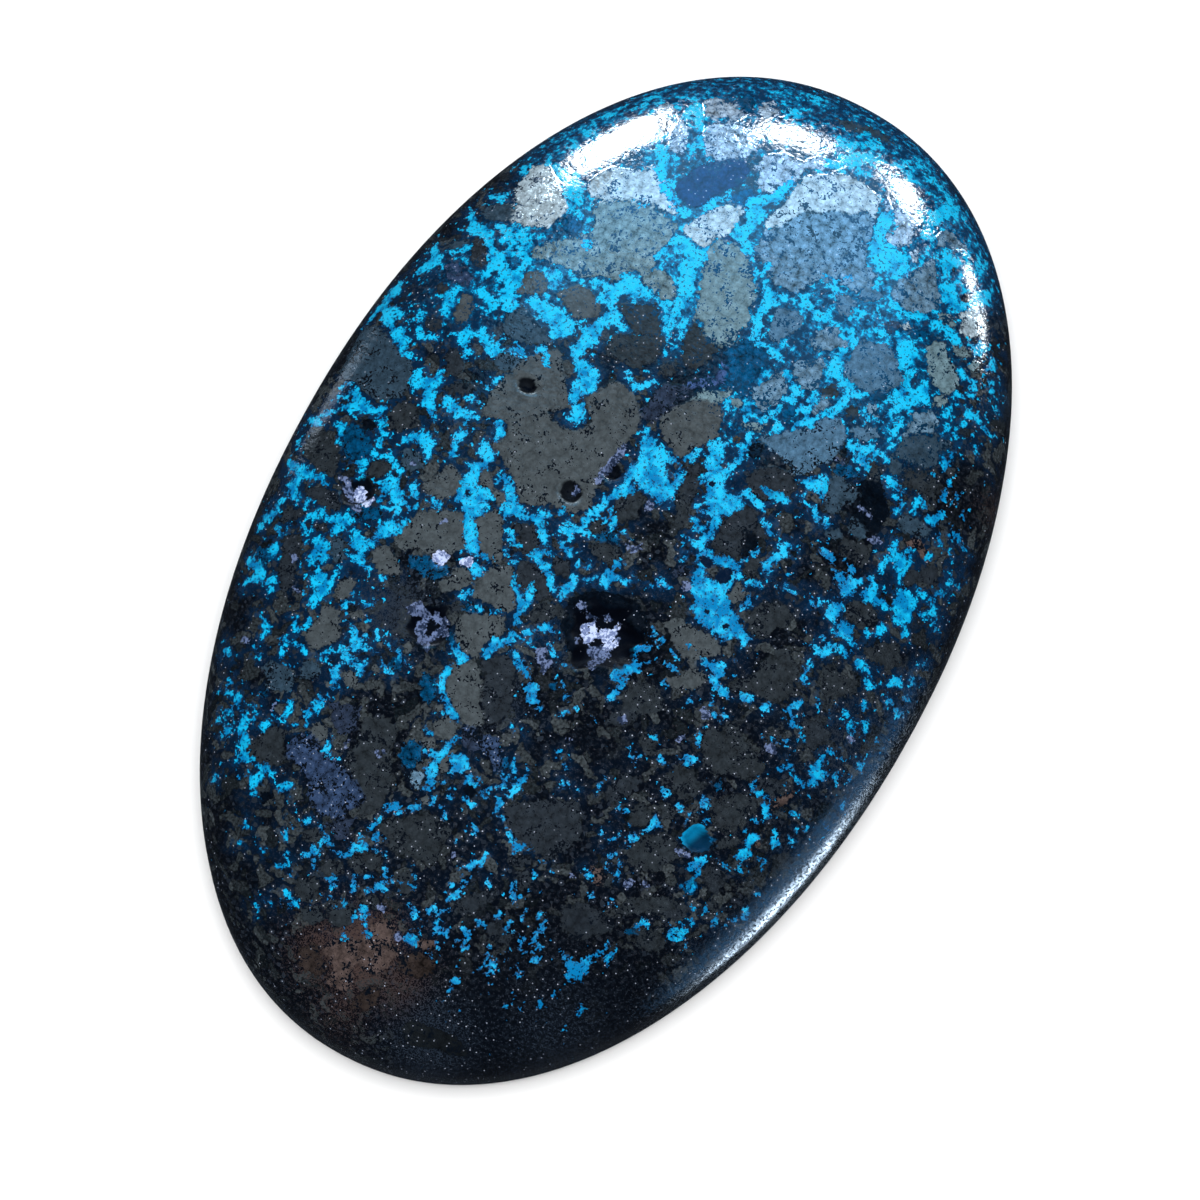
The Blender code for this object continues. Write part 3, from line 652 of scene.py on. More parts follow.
    [(398, 652, 3), (401, 661, 5)], [(383, 662, 3), (387, 671, 3), (391, 673, 2)],
    [(286, 640, 4), (282, 648, 2), (281, 656, 3), (284, 663, 3)],
    [(292, 642, 2), (300, 645, 3), (305, 653, 3), (299, 659, 2)],
    [(338, 667, 4), (335, 675, 5), (339, 682, 4), (338, 688, 2), (328, 690, 2)],
    [(326, 696, 3), (321, 700, 6), (317, 707, 6)], [(222, 646, 3), (225, 652, 4), (229, 656, 2)],
    [(234, 682, 2), (229, 684, 3), (223, 690, 2), (228, 694, 4)], [(237, 698, 4), (241, 706, 4)],
    [(256, 703, 3), (254, 708, 2)], [(292, 704, 3), (288, 700, 2)], [(257, 650, 2), (258, 655, 2)],
    [(400, 284, 3), (392, 293, 6), (385, 303, 7), (366, 322, 5)],
    [(386, 308, 5), (388, 319, 6), (392, 328, 4), (398, 337, 6), (400, 346, 4)],
    [(394, 311, 5), (401, 314, 4)], [(405, 337, 4), (402, 350, 3), (410, 357, 3)],
    [(353, 389, 4), (360, 404, 8), (367, 409, 6), (375, 410, 5), (387, 408, 4)],
    [(344, 407, 4), (353, 406, 6)], [(378, 413, 4), (383, 422, 4), (382, 430, 4), (386, 434, 2)],
    [(378, 434, 2), (381, 441, 4), (380, 446, 4)], [(347, 384, 4), (342, 388, 2)],
    [(339, 397, 3), (345, 398, 2)], [(326, 414, 4), (332, 411, 3)],
    [(308, 412, 3), (303, 421, 4), (302, 429, 4)], [(310, 420, 4), (315, 423, 6)],
    [(341, 426, 5), (341, 435, 4), (338, 441, 2)], [(297, 438, 3), (298, 446, 2)],
    [(374, 455, 3), (390, 456, 3), (400, 471, 3)], [(356, 463, 4), (364, 463, 5), (362, 477, 2)],
    [(390, 477, 3), (397, 480, 4)],
    [(239, 704, 4), (245, 713, 3), (244, 720, 3), (241, 726, 5), (244, 741, 5), (243, 750, 4),
     (245, 757, 6), (239, 760, 4)],
    [(247, 757, 4), (258, 765, 3), (265, 768, 5), (271, 773, 4)],
    [(262, 776, 3), (258, 784, 4), (247, 775, 3), (249, 771, 2)], [(226, 710, 4), (231, 713, 3)],
    [(256, 716, 4), (253, 720, 2), (265, 727, 4), (271, 721, 3)],
    [(229, 727, 3), (226, 734, 4), (222, 738, 2)], [(214, 721, 2), (218, 721, 3)],
    [(216, 775, 3), (213, 781, 3)], [(286, 714, 4), (289, 707, 3), (293, 703, 3)],
    [(307, 708, 3), (308, 715, 4), (306, 722, 2), (306, 730, 2)], [(291, 724, 2), (297, 725, 2)],
    [(329, 742, 3), (327, 749, 4), (331, 757, 2)], [(279, 791, 3), (285, 785, 4), (291, 786, 4)],
    [(287, 789, 4), (292, 794, 2)], [(255, 793, 2), (254, 795, 2)], [(303, 824, 3), (308, 822, 4)],
    [(289, 822, 2), (295, 828, 4)], [(284, 832, 2), (287, 836, 4)], [(246, 821, 2), (247, 827, 4)],
    [(240, 841, 3), (243, 842, 2)], [(318, 822, 1.5), (332, 849, 3), (345, 857, 3)],
    [(345, 857, 3), (350, 851, 4), (364, 845, 4), (370, 848, 2), (385, 853, 2)],
    [(323, 840, 2), (320, 849, 2)], [(307, 855, 4), (311, 855, 3)],
    [(314, 851, 5), (316, 855, 3), (313, 861, 2), (315, 867, 3)],
    [(286, 855, 3), (288, 860, 2), (287, 866, 3), (279, 867, 3)], [(290, 873, 3), (292, 877, 2)],
    [(261, 847, 2), (264, 851, 3)], [(378, 821, 2), (374, 826, 4), (361, 836, 2)],
    [(384, 837, 3), (378, 832, 4), (373, 839, 4)],
    [(326, 877, 2), (331, 879, 5), (333, 884, 4), (331, 889, 2)], [(326, 898, 3), (329, 896, 2)],
    [(354, 876, 4), (355, 882, 3), (353, 890, 3)], [(365, 877, 3), (370, 876, 2)],
    [(386, 871, 3), (387, 877, 5), (391, 883, 3)], [(369, 890, 4), (381, 885, 5), (383, 890, 3)],
    [(361, 909, 4), (366, 913, 3)], [(344, 902, 2), (346, 904, 2)], [(311, 901, 2), (310, 904, 2)],
    [(287, 892, 3), (291, 898, 3)], [(268, 901, 2), (270, 903, 2)],
    [(389, 808, 5), (396, 807, 6), (400, 812, 3)], [(409, 809, 3), (418, 806, 4)],
    [(412, 871, 3), (413, 874, 2)], [(400, 884, 3), (399, 888, 2)], [(412, 885, 4), (413, 889, 2)],
    [(455, 760, 7), (460, 763, 10), (455, 769, 6)], [(460, 763, 9), (466, 757, 4), (471, 755, 2)],
    [(461, 752, 3), (459, 745, 2)], [(425, 752, 4), (433, 753, 3), (438, 757, 4), (445, 751, 4)],
    [(436, 763, 3), (430, 769, 4), (425, 769, 3)], [(432, 774, 5), (430, 782, 6), (427, 788, 5)],
    [(443, 748, 3), (450, 745, 4), (457, 739, 3)], [(456, 718, 4), (449, 710, 5), (444, 713, 3)],
    [(427, 727, 2), (431, 733, 3)], [(442, 791, 3), (448, 789, 3)], [(444, 783, 3), (446, 781, 2)],
    [(449, 799, 3), (450, 796, 2)], [(433, 800, 3), (433, 804, 3)], [(441, 807, 3), (444, 817, 3)],
    [(464, 798, 3), (467, 803, 3)], [(471, 802, 2), (474, 807, 3)],
    [(466, 782, 3), (470, 777, 4), (474, 784, 2)], [(479, 779, 3), (477, 785, 3)],
    [(477, 788, 2), (482, 792, 5), (489, 788, 3)], [(485, 796, 4), (489, 799, 2)],
    [(472, 824, 2), (475, 830, 4), (475, 835, 2)], [(457, 840, 2), (459, 838, 2)],
    [(496, 809, 4), (500, 804, 4), (498, 798, 2)],
    [(501, 815, 2), (506, 829, 2), (511, 833, 3), (515, 839, 2)],
    [(514, 851, 3), (515, 846, 5), (529, 847, 3), (533, 851, 2)],
    [(502, 773, 3), (505, 779, 4), (503, 785, 3), (497, 788, 2)], [(513, 760, 3), (514, 772, 3)],
    [(528, 772, 2), (523, 779, 4), (517, 785, 4), (512, 792, 4), (510, 797, 2)],
    [(515, 729, 2), (515, 733, 2)], [(592, 718, 2), (589, 723, 3), (591, 727, 2)],
    [(563, 715, 2), (574, 709, 3)], [(565, 700, 3), (568, 703, 2)],
    [(562, 756, 2), (561, 762, 3), (566, 768, 3)], [(565, 783, 3), (567, 788, 3)],
    [(577, 789, 2), (578, 792, 2)], [(620, 808, 4), (625, 812, 4)], [(602, 833, 3), (604, 835, 2)],
    [(605, 778, 2), (601, 783, 3), (598, 790, 2)], [(609, 858, 2), (613, 854, 3), (617, 852, 2)],
    [(608, 865, 3), (607, 869, 2)], [(620, 863, 3), (620, 870, 3), (616, 876, 3), (615, 882, 2)],
    [(584, 869, 3), (588, 873, 4), (591, 881, 2)], [(591, 894, 3), (590, 899, 3)],
    [(536, 871, 3), (535, 877, 2)], [(543, 862, 2), (552, 870, 2)], [(503, 874, 2), (505, 874, 2)],
    [(513, 882, 3), (512, 889, 4), (514, 897, 4), (526, 896, 2)], [(514, 897, 3), (514, 906, 2)],
    [(529, 893, 3), (532, 896, 3)], [(472, 864, 5), (470, 868, 4)], [(479, 862, 3), (482, 867, 2)],
    [(458, 876, 2), (463, 873, 4), (464, 880, 3)], [(473, 874, 4), (470, 880, 3)],
    [(484, 858, 3), (488, 855, 2)], [(489, 881, 3), (491, 884, 2)], [(449, 882, 2), (452, 886, 3)],
    [(444, 902, 2), (450, 899, 4), (471, 881, 2)], [(427, 910, 4), (433, 909, 3)],
    [(440, 912, 3), (447, 908, 3)], [(411, 914, 3), (416, 912, 3)], [(607, 903, 3), (612, 901, 2)],
    [(713, 709, 3), (716, 716, 4)], [(722, 711, 2), (725, 718, 3)],
    [(789, 711, 4), (793, 725, 5), (799, 727, 2)],
    [(792, 734, 2), (789, 740, 3), (779, 743, 3), (770, 738, 2)], [(800, 728, 2), (806, 744, 1.5)],
    [(654, 737, 3), (656, 739, 2)], [(699, 735, 3), (697, 741, 3), (699, 748, 3)],
    [(638, 753, 4), (634, 761, 3)], [(660, 757, 3), (663, 762, 4), (667, 767, 2)],
    [(682, 758, 4), (696, 758, 3)], [(690, 758, 5), (690, 763, 3), (685, 764, 2)],
    [(664, 791, 4), (667, 794, 3)], [(679, 804, 3), (680, 808, 3)],
    [(706, 798, 4), (704, 804, 5), (703, 811, 3)], [(706, 819, 3), (708, 827, 2)],
    [(686, 822, 2), (688, 814, 2)], [(655, 817, 3), (659, 825, 5), (643, 831, 2)],
    [(628, 826, 3), (636, 837, 3), (631, 840, 5)], [(604, 847, 1.5), (617, 837, 1.5)],
    [(757, 777, 3), (753, 790, 3)], [(760, 794, 3), (766, 799, 4), (766, 814, 4), (771, 816, 2)],
    [(776, 770, 3), (790, 766, 4)], [(781, 774, 3), (777, 770, 3)], [(784, 756, 2), (790, 754, 2)],
    [(829, 749, 2), (819, 764, 4), (816, 772, 8), (822, 776, 6)], [(816, 778, 6), (802, 788, 3)],
    [(796, 776, 2), (800, 783, 4)], [(830, 776, 3), (832, 778, 2)], [(787, 787, 2), (786, 785, 2)],
    [(788, 812, 3), (797, 813, 3)], [(797, 832, 2), (798, 830, 2)], [(807, 828, 2), (806, 831, 2)],
    [(826, 826, 4), (828, 830, 3)], [(743, 831, 3), (745, 829, 2)], [(753, 821, 2), (756, 823, 2)],
    [(754, 837, 5), (747, 843, 4), (746, 850, 4), (751, 856, 3)],
    [(746, 850, 4), (741, 857, 5), (736, 857, 3)], [(774, 830, 2), (775, 833, 2)],
    [(770, 839, 2), (775, 843, 5)], [(790, 840, 2), (791, 846, 2), (799, 855, 2)],
    [(763, 860, 4), (763, 865, 3)], [(740, 870, 3), (746, 875, 2)], [(762, 871, 2), (761, 873, 2)],
    [(722, 863, 2), (728, 869, 2)], [(756, 895, 3), (759, 893, 2)], [(693, 908, 3), (692, 914, 3)],
    [(703, 906, 2), (705, 910, 2)], [(745, 909, 2), (746, 912, 2)],
    [(686, 833, 4), (686, 839, 6), (691, 844, 4)], [(688, 866, 4), (696, 864, 5), (703, 861, 4)],
    [(696, 868, 5), (698, 876, 4)], [(690, 885, 6), (691, 890, 4)],
    [(818, 700, 3), (817, 704, 2)], [(829, 710, 3), (830, 714, 2)], [(846, 714, 3), (851, 717, 3)],
    [(849, 727, 4), (854, 729, 4), (852, 735, 2)], [(862, 699, 2), (864, 706, 4), (866, 715, 2)],
    [(860, 723, 2), (865, 723, 3), (866, 730, 3), (863, 737, 2)],
    [(896, 708, 4), (899, 714, 3), (906, 717, 3)], [(919, 708, 3), (920, 712, 2)],
    [(894, 731, 3), (896, 728, 2)], [(877, 742, 2), (879, 743, 2)], [(881, 753, 4), (886, 749, 2)],
    [(834, 753, 3), (838, 751, 2)], [(840, 758, 3), (843, 756, 2)],
    [(861, 757, 2), (860, 765, 3), (858, 770, 2)], [(829, 776, 2), (835, 779, 3), (840, 774, 3)],
    [(849, 781, 3), (852, 778, 2)], [(840, 806, 3), (847, 808, 4), (854, 807, 3)],
    [(361, 909, 4), (367, 909, 3), (363, 916, 3)], [(353, 917, 2), (354, 921, 3)],
    [(365, 922, 2), (365, 926, 1.5)], [(360, 934, 3), (366, 933, 4), (371, 934, 3)],
    [(342, 934, 2), (344, 937, 3)], [(336, 904, 2), (338, 907, 2)], [(408, 906, 2), (415, 913, 3)],
    [(410, 931, 3), (410, 937, 6), (414, 943, 4)], [(406, 937, 4), (411, 938, 5)],
    [(281, 904, 2), (283, 907, 2)], [(289, 905, 3), (296, 903, 3)], [(256, 904, 2), (259, 910, 2)],
    [(428, 911, 5), (434, 913, 2)], [(424, 917, 2), (425, 921, 2)], [(436, 925, 4), (446, 934, 4)],
    [(432, 935, 2), (437, 935, 3)], [(435, 942, 2), (439, 945, 3)], [(426, 951, 3), (431, 956, 3)],
    [(465, 929, 4), (467, 934, 5)], [(457, 940, 4), (468, 947, 4)], [(480, 923, 4), (485, 927, 3)],
    [(496, 916, 4), (500, 912, 2)], [(509, 922, 3), (506, 930, 4)], [(525, 911, 3), (529, 915, 2)],
    [(523, 917, 3), (524, 920, 2)], [(538, 914, 2), (538, 919, 3)],
    [(545, 922, 3), (541, 929, 4), (535, 932, 4), (537, 938, 2)], [(522, 939, 4), (523, 944, 4)],
    [(532, 942, 4), (537, 948, 4), (543, 950, 2)], [(520, 949, 3), (523, 953, 5)],
    [(532, 955, 3), (538, 960, 4), (530, 962, 2)], [(504, 952, 3), (508, 960, 3)],
    [(489, 946, 2), (488, 954, 3), (492, 961, 5), (495, 966, 3)], [(480, 966, 2), (475, 971, 4)],
    [(486, 964, 2), (487, 971, 2), (491, 977, 3), (492, 983, 2)], [(456, 966, 3), (455, 969, 2)],
    [(453, 983, 4), (457, 980, 3)], [(451, 989, 2), (449, 993, 2)], [(440, 1008, 2), (442, 1006, 2)],
    [(460, 1010, 1.5), (461, 1013, 2)], [(511, 993, 3), (514, 997, 2)],
    [(521, 966, 3), (523, 973, 4), (516, 975, 3)], [(555, 990, 3), (553, 997, 3)],
    [(542, 1004, 4), (538, 1008, 3)], [(577, 1001, 2), (578, 1010, 4), (579, 1017, 2)],
    [(570, 1002, 2), (574, 1005, 2)], [(583, 1008, 2), (582, 1005, 1.5)],
    [(505, 1006, 2), (510, 1003, 1.5)], [(520, 1009, 1.5), (522, 1004, 1.5)],
    [(498, 1021, 2), (502, 1018, 1.5)], [(565, 1027, 2), (567, 1030, 1.5)],
    [(564, 1042, 2), (565, 1048, 2)], [(589, 1037, 2), (591, 1036, 2)],
    [(518, 1048, 2), (521, 1048, 1.5)], [(494, 1063, 2), (499, 1061, 2)],
    [(570, 958, 3), (570, 966, 7), (573, 974, 8), (576, 981, 4)],
    [(573, 970, 9), (582, 967, 7), (587, 972, 4)], [(582, 962, 4), (580, 976, 6)],
    [(560, 951, 3), (564, 956, 4)], [(589, 959, 3), (608, 948, 4), (607, 943, 2)],
    [(608, 951, 4), (612, 956, 4), (615, 952, 2)], [(603, 962, 2), (609, 966, 2)],
    [(637, 928, 4), (644, 925, 4)], [(692, 909, 3), (692, 923, 3)],
    [(672, 921, 2), (671, 936, 5), (676, 939, 3)],
    [(683, 924, 2), (684, 930, 3), (680, 936, 3), (685, 939, 2)], [(686, 945, 2), (688, 948, 1.5)],
    [(704, 909, 3), (707, 911, 2)], [(718, 915, 2), (714, 921, 4), (712, 926, 2)],
    [(729, 919, 2), (737, 920, 3)], [(744, 918, 4), (747, 911, 2)], [(752, 916, 2), (756, 914, 2)],
    [(618, 1027, 2), (628, 1029, 2)],
]

# Black pits and grains inside the turquoise
DARK_SPOTS = [
    [(718, 577, 3), (724, 577, 7), (728, 571, 4)], [(708, 563, 5), (703, 560, 3)],
    [(707, 612, 3), (706, 609, 2)], [(733, 606, 2), (731, 609, 2)], [(724, 627, 2), (728, 626, 2)],
    [(468, 492, 3), (468, 496, 2)], [(712, 484, 3), (710, 486, 2)], [(965, 298, 5), (968, 300, 3)],
    [(954, 268, 2), (954, 271, 2)],
]

# Quartz crystals, as strings of beads: bright ones and dull ones
BRIGHT_QUARTZ = [
    [(604, 632, 6), (609, 633, 6), (618, 624, 4)], [(605, 643, 4), (614, 641, 4)],
    [(435, 557, 3), (441, 558, 7), (447, 557, 3)], [(464, 562, 4), (468, 561, 5)],
    [(585, 624, 3), (589, 621, 4), (594, 626, 4), (593, 634, 4), (588, 638, 3)],
    [(584, 626, 3), (586, 633, 3)],
    [(358, 489, 6), (357, 496, 5)], [(367, 503, 4), (372, 500, 3)],
]
DULL_QUARTZ = [
    [(412, 610, 5), (420, 608, 6), (426, 614, 4)],
    [(598, 482, 3), (606, 470, 4), (616, 458, 4), (626, 446, 3)],
    [(437, 616, 5), (444, 622, 5), (443, 629, 4), (446, 634, 3)],
    [(420, 622, 5), (419, 632, 5), (424, 641, 6), (427, 647, 3)], [(430, 637, 4), (437, 631, 4)],
    [(592, 648, 5), (600, 651, 8), (607, 646, 5)], [(600, 658, 4), (590, 662, 4), (592, 667, 3)],
    [(618, 633, 4), (619, 637, 3)], [(578, 606, 3), (584, 603, 3), (583, 609, 2)],
    [(588, 614, 3), (594, 616, 3)], [(607, 615, 3), (610, 616, 2)], [(577, 638, 2), (575, 640, 2)],
    [(537, 650, 3), (545, 650, 3)], [(541, 656, 4), (540, 661, 3), (547, 664, 4), (544, 671, 3)],
    [(574, 492, 2), (578, 488, 3)], [(649, 506, 5), (647, 503, 3)], [(686, 586, 5), (684, 588, 3)],
    [(628, 545, 2), (632, 550, 3), (639, 546, 3)], [(838, 460, 3), (843, 462, 3)],
    [(446, 520, 2), (444, 522, 2)],
    [(342, 478, 3), (347, 482, 4), (346, 490, 3), (350, 499, 3)], [(355, 507, 3), (358, 510, 2)],
    [(861, 508, 3), (872, 518, 1)], [(876, 540, 4), (878, 541, 3)], [(869, 541, 2), (869, 539, 2)],
    [(949, 621, 3), (951, 623, 2)], [(292, 554, 2), (295, 560, 3)], [(295, 588, 2), (299, 591, 3)],
    [(245, 639, 4), (248, 642, 3)], [(412, 464, 3), (416, 462, 2)],
    [(346, 742, 3), (345, 747, 2)], [(376, 752, 2), (380, 757, 2)], [(384, 751, 2), (386, 750, 1.5)],
    [(704, 709, 3), (706, 715, 4)], [(622, 719, 4), (624, 722, 3)], [(678, 739, 3), (682, 736, 3)],
    [(768, 747, 4), (772, 749, 4)], [(645, 880, 3), (646, 884, 4)], [(628, 884, 5), (633, 880, 3)],
    [(677, 850, 3), (688, 856, 3)], [(453, 856, 3), (455, 852, 2)], [(568, 738, 2), (570, 740, 2)],
    [(572, 877, 3), (569, 876, 2)], [(276, 703, 2), (272, 710, 2)],
    [(381, 907, 4), (383, 909, 3)], [(398, 936, 4), (399, 939, 3)], [(851, 738, 2), (853, 741, 2)],
]

# Open pits and pockets: x, y and radius in the photograph's pixels, and depth in millimetres
PITS = [
    (528, 385, 9, 0.30),
    (572, 491, 11, 0.35),
    (613, 471, 9, 0.40),
    (602, 634, 33, 0.50),
    (430, 625, 20, 0.40),
    (357, 492, 15, 0.35),
    (440, 560, 7, 0.15),
    (581, 922, 12, 0.05),
    (691, 880, 10, 0.06),
]
# Wells of clear blue stone, and the way on the stone to the side that painted light brightens
WELLS = [
    (698, 839, 13, 0.30),
]
WELL_LIGHT = (-0.5, 0.2)
# How steep a pit's wall is, how far its edge wanders, and the lumps of that to a millimetre
PIT_EDGE = 1.6
PIT_RAGGEDNESS = 0.45
PIT_LUMPS = 1.9
# In a pit's radii: how far out it is looked for, where its worn rim ends, and how sharply
PIT_REACH = 1.6
WORN_REACH = 1.22
WORN_EDGE = 6

# Patches are soft and round: x, y and reach in the photograph's pixels, and an amount.
# Where fine turquoise is scattered between the drawn strings
PLENTY = [
    (720, 110, 140, 3.0),
    (620, 165, 110, 3.0),
    (870, 150, 120, 3.0),
    (930, 250, 100, 3.0),
    (700, 260, 130, 2.8),
    (560, 250, 110, 2.4),
    (850, 330, 130, 2.6),
    (470, 290, 90, 1.8),
    (760, 390, 100, 2.0),
    (900, 420, 90, 1.8),
    (440, 430, 190, 0.9),
    (820, 560, 160, 0.8),
    (340, 580, 170, 0.9),
    (700, 700, 150, 0.5),
    (290, 760, 130, 0.8),
    (540, 960, 110, 0.3),
    (1000, 400, 40, 1.3),
    (850, 740, 110, 0.6),
]
# Where the turquoise is dimmest and, past a third, the rock is blackest: dark rock in the middle
# patches, and painted shade darkening the lower half towards its bottom edge
DARK_ROCK_AND_SHADE = [
    (420, 900, 330, 0.44),
    (700, 800, 280, 0.46),
    (560, 1030, 200, 0.76),
    (470, 1050, 120, 1.00),
    (620, 1010, 90, 0.85),
    (350, 1020, 70, 0.60),
    (540, 690, 50, 0.60),
    (640, 650, 60, 0.70),
    (590, 720, 45, 0.60),
    (840, 560, 40, 0.60),
    (960, 500, 50, 0.70),
    (740, 905, 60, 0.50),
    (800, 800, 60, 0.40),
]
# Where the rim is satin, not glossy
SATIN = [
    (700, 975, 60, 0.9),
    (750, 930, 60, 1.0),
    (800, 875, 60, 1.0),
    (850, 800, 60, 0.9),
    (900, 720, 60, 0.6),
]
# Where rusty grit and pale grit lie in the dark rock
WARMTH = [
    (362, 950, 42, 1.1),
    (325, 950, 40, 0.7),
    (400, 985, 40, 0.6),
    (345, 1000, 40, 0.5),
    (1000, 520, 25, 0.5),
]
DUST = [
    (430, 1040, 55, 0.7),
    (560, 1040, 70, 0.5),
    (840, 735, 60, 0.5),
    (500, 700, 40, 0.6),
    (395, 610, 45, 0.8),
    (560, 640, 30, 0.5),
]
# What the girdle and the back, which the photograph doesn't show, have of the first two
RIM_PLENTY = 0.3
RIM_DARK_ROCK_AND_SHADE = 0.2

# The rocks' colours, and how porous and how granular each one is, and how many painted glints it has
ROCKS = {
    "olive": ((0.056, 0.070, 0.079), -0.08, 0.12, 0.2),
    "slate": ((0.027, 0.054, 0.084), 0.20, 0.25, 0.3),
    "brown": ((0.019, 0.026, 0.035), 0.20, 0.25, 0.6),
    "pale": ((0.125, 0.208, 0.248), 0.32, 0.25, 0.2),
    "cream": ((0.120, 0.190, 0.220), 0.35, 0.45, 0.2),
    "grey": ((0.100, 0.192, 0.285), 0.42, 0.50, 0.4),
    "blue_grey": ((0.060, 0.136, 0.222), 0.22, 0.25, 0.6),
    "ochre": ((0.060, 0.056, 0.042), 0.40, 0.30, 0.2),
    "black": ((0.001, 0.003, 0.007), 0.20, 0.30, 0.1),
    "plum": ((0.020, 0.032, 0.062), 0.40, 0.40, 0.6),
    "violet": ((0.036, 0.075, 0.200), 0.50, 0.60, 0.6),
    "teal": ((0.000, 0.054, 0.140), 0.20, 0.55, 0.1),
    "navy": ((0.006, 0.030, 0.098), 0.10, 0.30, 1.0),
    # The next two colours are painted reflection on the clasts' tops and along the top shoulder
    "painted_sheen_cap": ((0.320, 0.420, 0.490), 0.16, 0.35, 0.3),
    "painted_sheen_band": ((0.260, 0.370, 0.495), 0.30, 0.55, 0.4),
    "mica": ((0.028, 0.054, 0.120), 0.50, 0.50, 1.6),
    "dusk": ((0.021, 0.028, 0.035), 0.20, 0.25, 1.0),
    "rust": ((0.080, 0.058, 0.054), 0.55, 0.35, 0.3),
    "umber": ((0.032, 0.024, 0.022), 0.40, 0.35, 0.3),
}
# Drawn shapes count up to this far outside them, in millimetres
FAR = 1.2
# The colour and nature where no clast is near
NO_ROCK = (0.010, 0.010, 0.010, 0.4, 0.4, 0.3)

# The points of the stone's section and of its bevel, and how close two vertices count as one
SECTION_POINTS = 400
BEVEL_POINTS = 40
MERGE_DISTANCE = 0.0005 * MM
# The nearest that the camera sees, in metres
NEAREST_SIGHT = 0.01


def turned(turn, height):
    """The direction from the stone to the camera at this turn and height in degrees."""
    a = math.radians(turn)
    e = math.radians(height)
    return Vector((math.sin(a) * math.cos(e), -math.cos(a) * math.cos(e), math.sin(e)))


def look_from(thing, place, target):
    thing.location = place
    thing.rotation_euler = (target - place).to_track_quat("-Z", "Y").to_euler()


def add_camera():
    data = bpy.data.cameras.new("camera")
    data.lens = LENS
    data.sensor_width = SENSOR
    data.clip_start = NEAREST_SIGHT
    camera = bpy.data.objects.new("camera", data)
    bpy.context.scene.collection.objects.link(camera)
    back = turned(CAMERA_TURN, CAMERA_HEIGHT)
    right = Vector((math.cos(math.radians(CAMERA_TURN)), math.sin(math.radians(CAMERA_TURN)), 0))
    up = back.cross(right)
    half = PHOTO_SIZE / 2
    middle = Vector((0, 0, BACK_BEVEL))
    aim = middle - right * (PHOTO_MIDDLE[0] - half) * PIXEL + up * (PHOTO_MIDDLE[1] - half) * PIXEL
    away = PHOTO_SIZE * PIXEL * LENS / SENSOR
    look_from(camera, aim + back * away, aim)
    bpy.context.scene.camera = camera
    return camera


def girdle(turn):
    """The girdle's points at these turns from +X."""
    across = np.cos(turn)
    along = np.sin(turn)
    full = (np.abs(across) ** OVAL_POWER + np.abs(along) ** OVAL_POWER) ** (-1 / OVAL_POWER)
    full = full * (1 + BLUNT_END * np.sin(3 * turn))
    return WIDTH / 2 * full * across, LENGTH / 2 * full * along


def section():
    """The cross-section from the top to the back's edge: distance along it, reach and height."""
    turn = np.linspace(math.pi / 2, 0, SECTION_POINTS)
    reach = np.cos(turn) ** (2 / DOME_POWER)
    height = GIRDLE_TOP + (THICKNESS - GIRDLE_TOP) * np.sqrt(np.maximum(0, 1 - reach**DOME_POWER))
    bevel = np.linspace(math.pi / 2, 0, BEVEL_POINTS)
    reach = np.append(reach, BACK_BEVEL_REACH + (1 - BACK_BEVEL_REACH) * np.sin(bevel))
    height = np.append(height, BACK_BEVEL * (1 - np.cos(bevel)))
    mean_radius = math.sqrt(WIDTH * LENGTH) / 2
    steps = np.hypot(np.diff(reach), np.diff(height) / mean_radius)
    return np.append(0, np.cumsum(steps)), reach, height


def disc_from_square(x, y):
    """Rings and turns of a square's points when its rings are drawn out to circles."""
    wide = np.abs(x) > np.abs(y)
    ring = np.where(wide, x, y)
    safe = np.where(ring == 0, 1, ring)
    turn = np.where(wide, math.pi / 4 * y / safe, math.pi / 2 - math.pi / 4 * x / safe)
    return np.abs(ring), turn + math.pi * (ring < 0)


def places_of(mesh):
    flat = np.empty(len(mesh.vertices) * 3)
    mesh.vertices.foreach_get("co", flat)
    return flat.reshape(-1, 3)


def keep(mesh, name, values):
    """Stores a number, or a row of three, for each vertex."""
    kind, field = ("FLOAT", "value") if values.ndim == 1 else ("FLOAT_VECTOR", "vector")
    layer = mesh.attributes.new(name, kind, "POINT")
    layer.data.foreach_set(field, np.ascontiguousarray(values, np.float32).ravel())


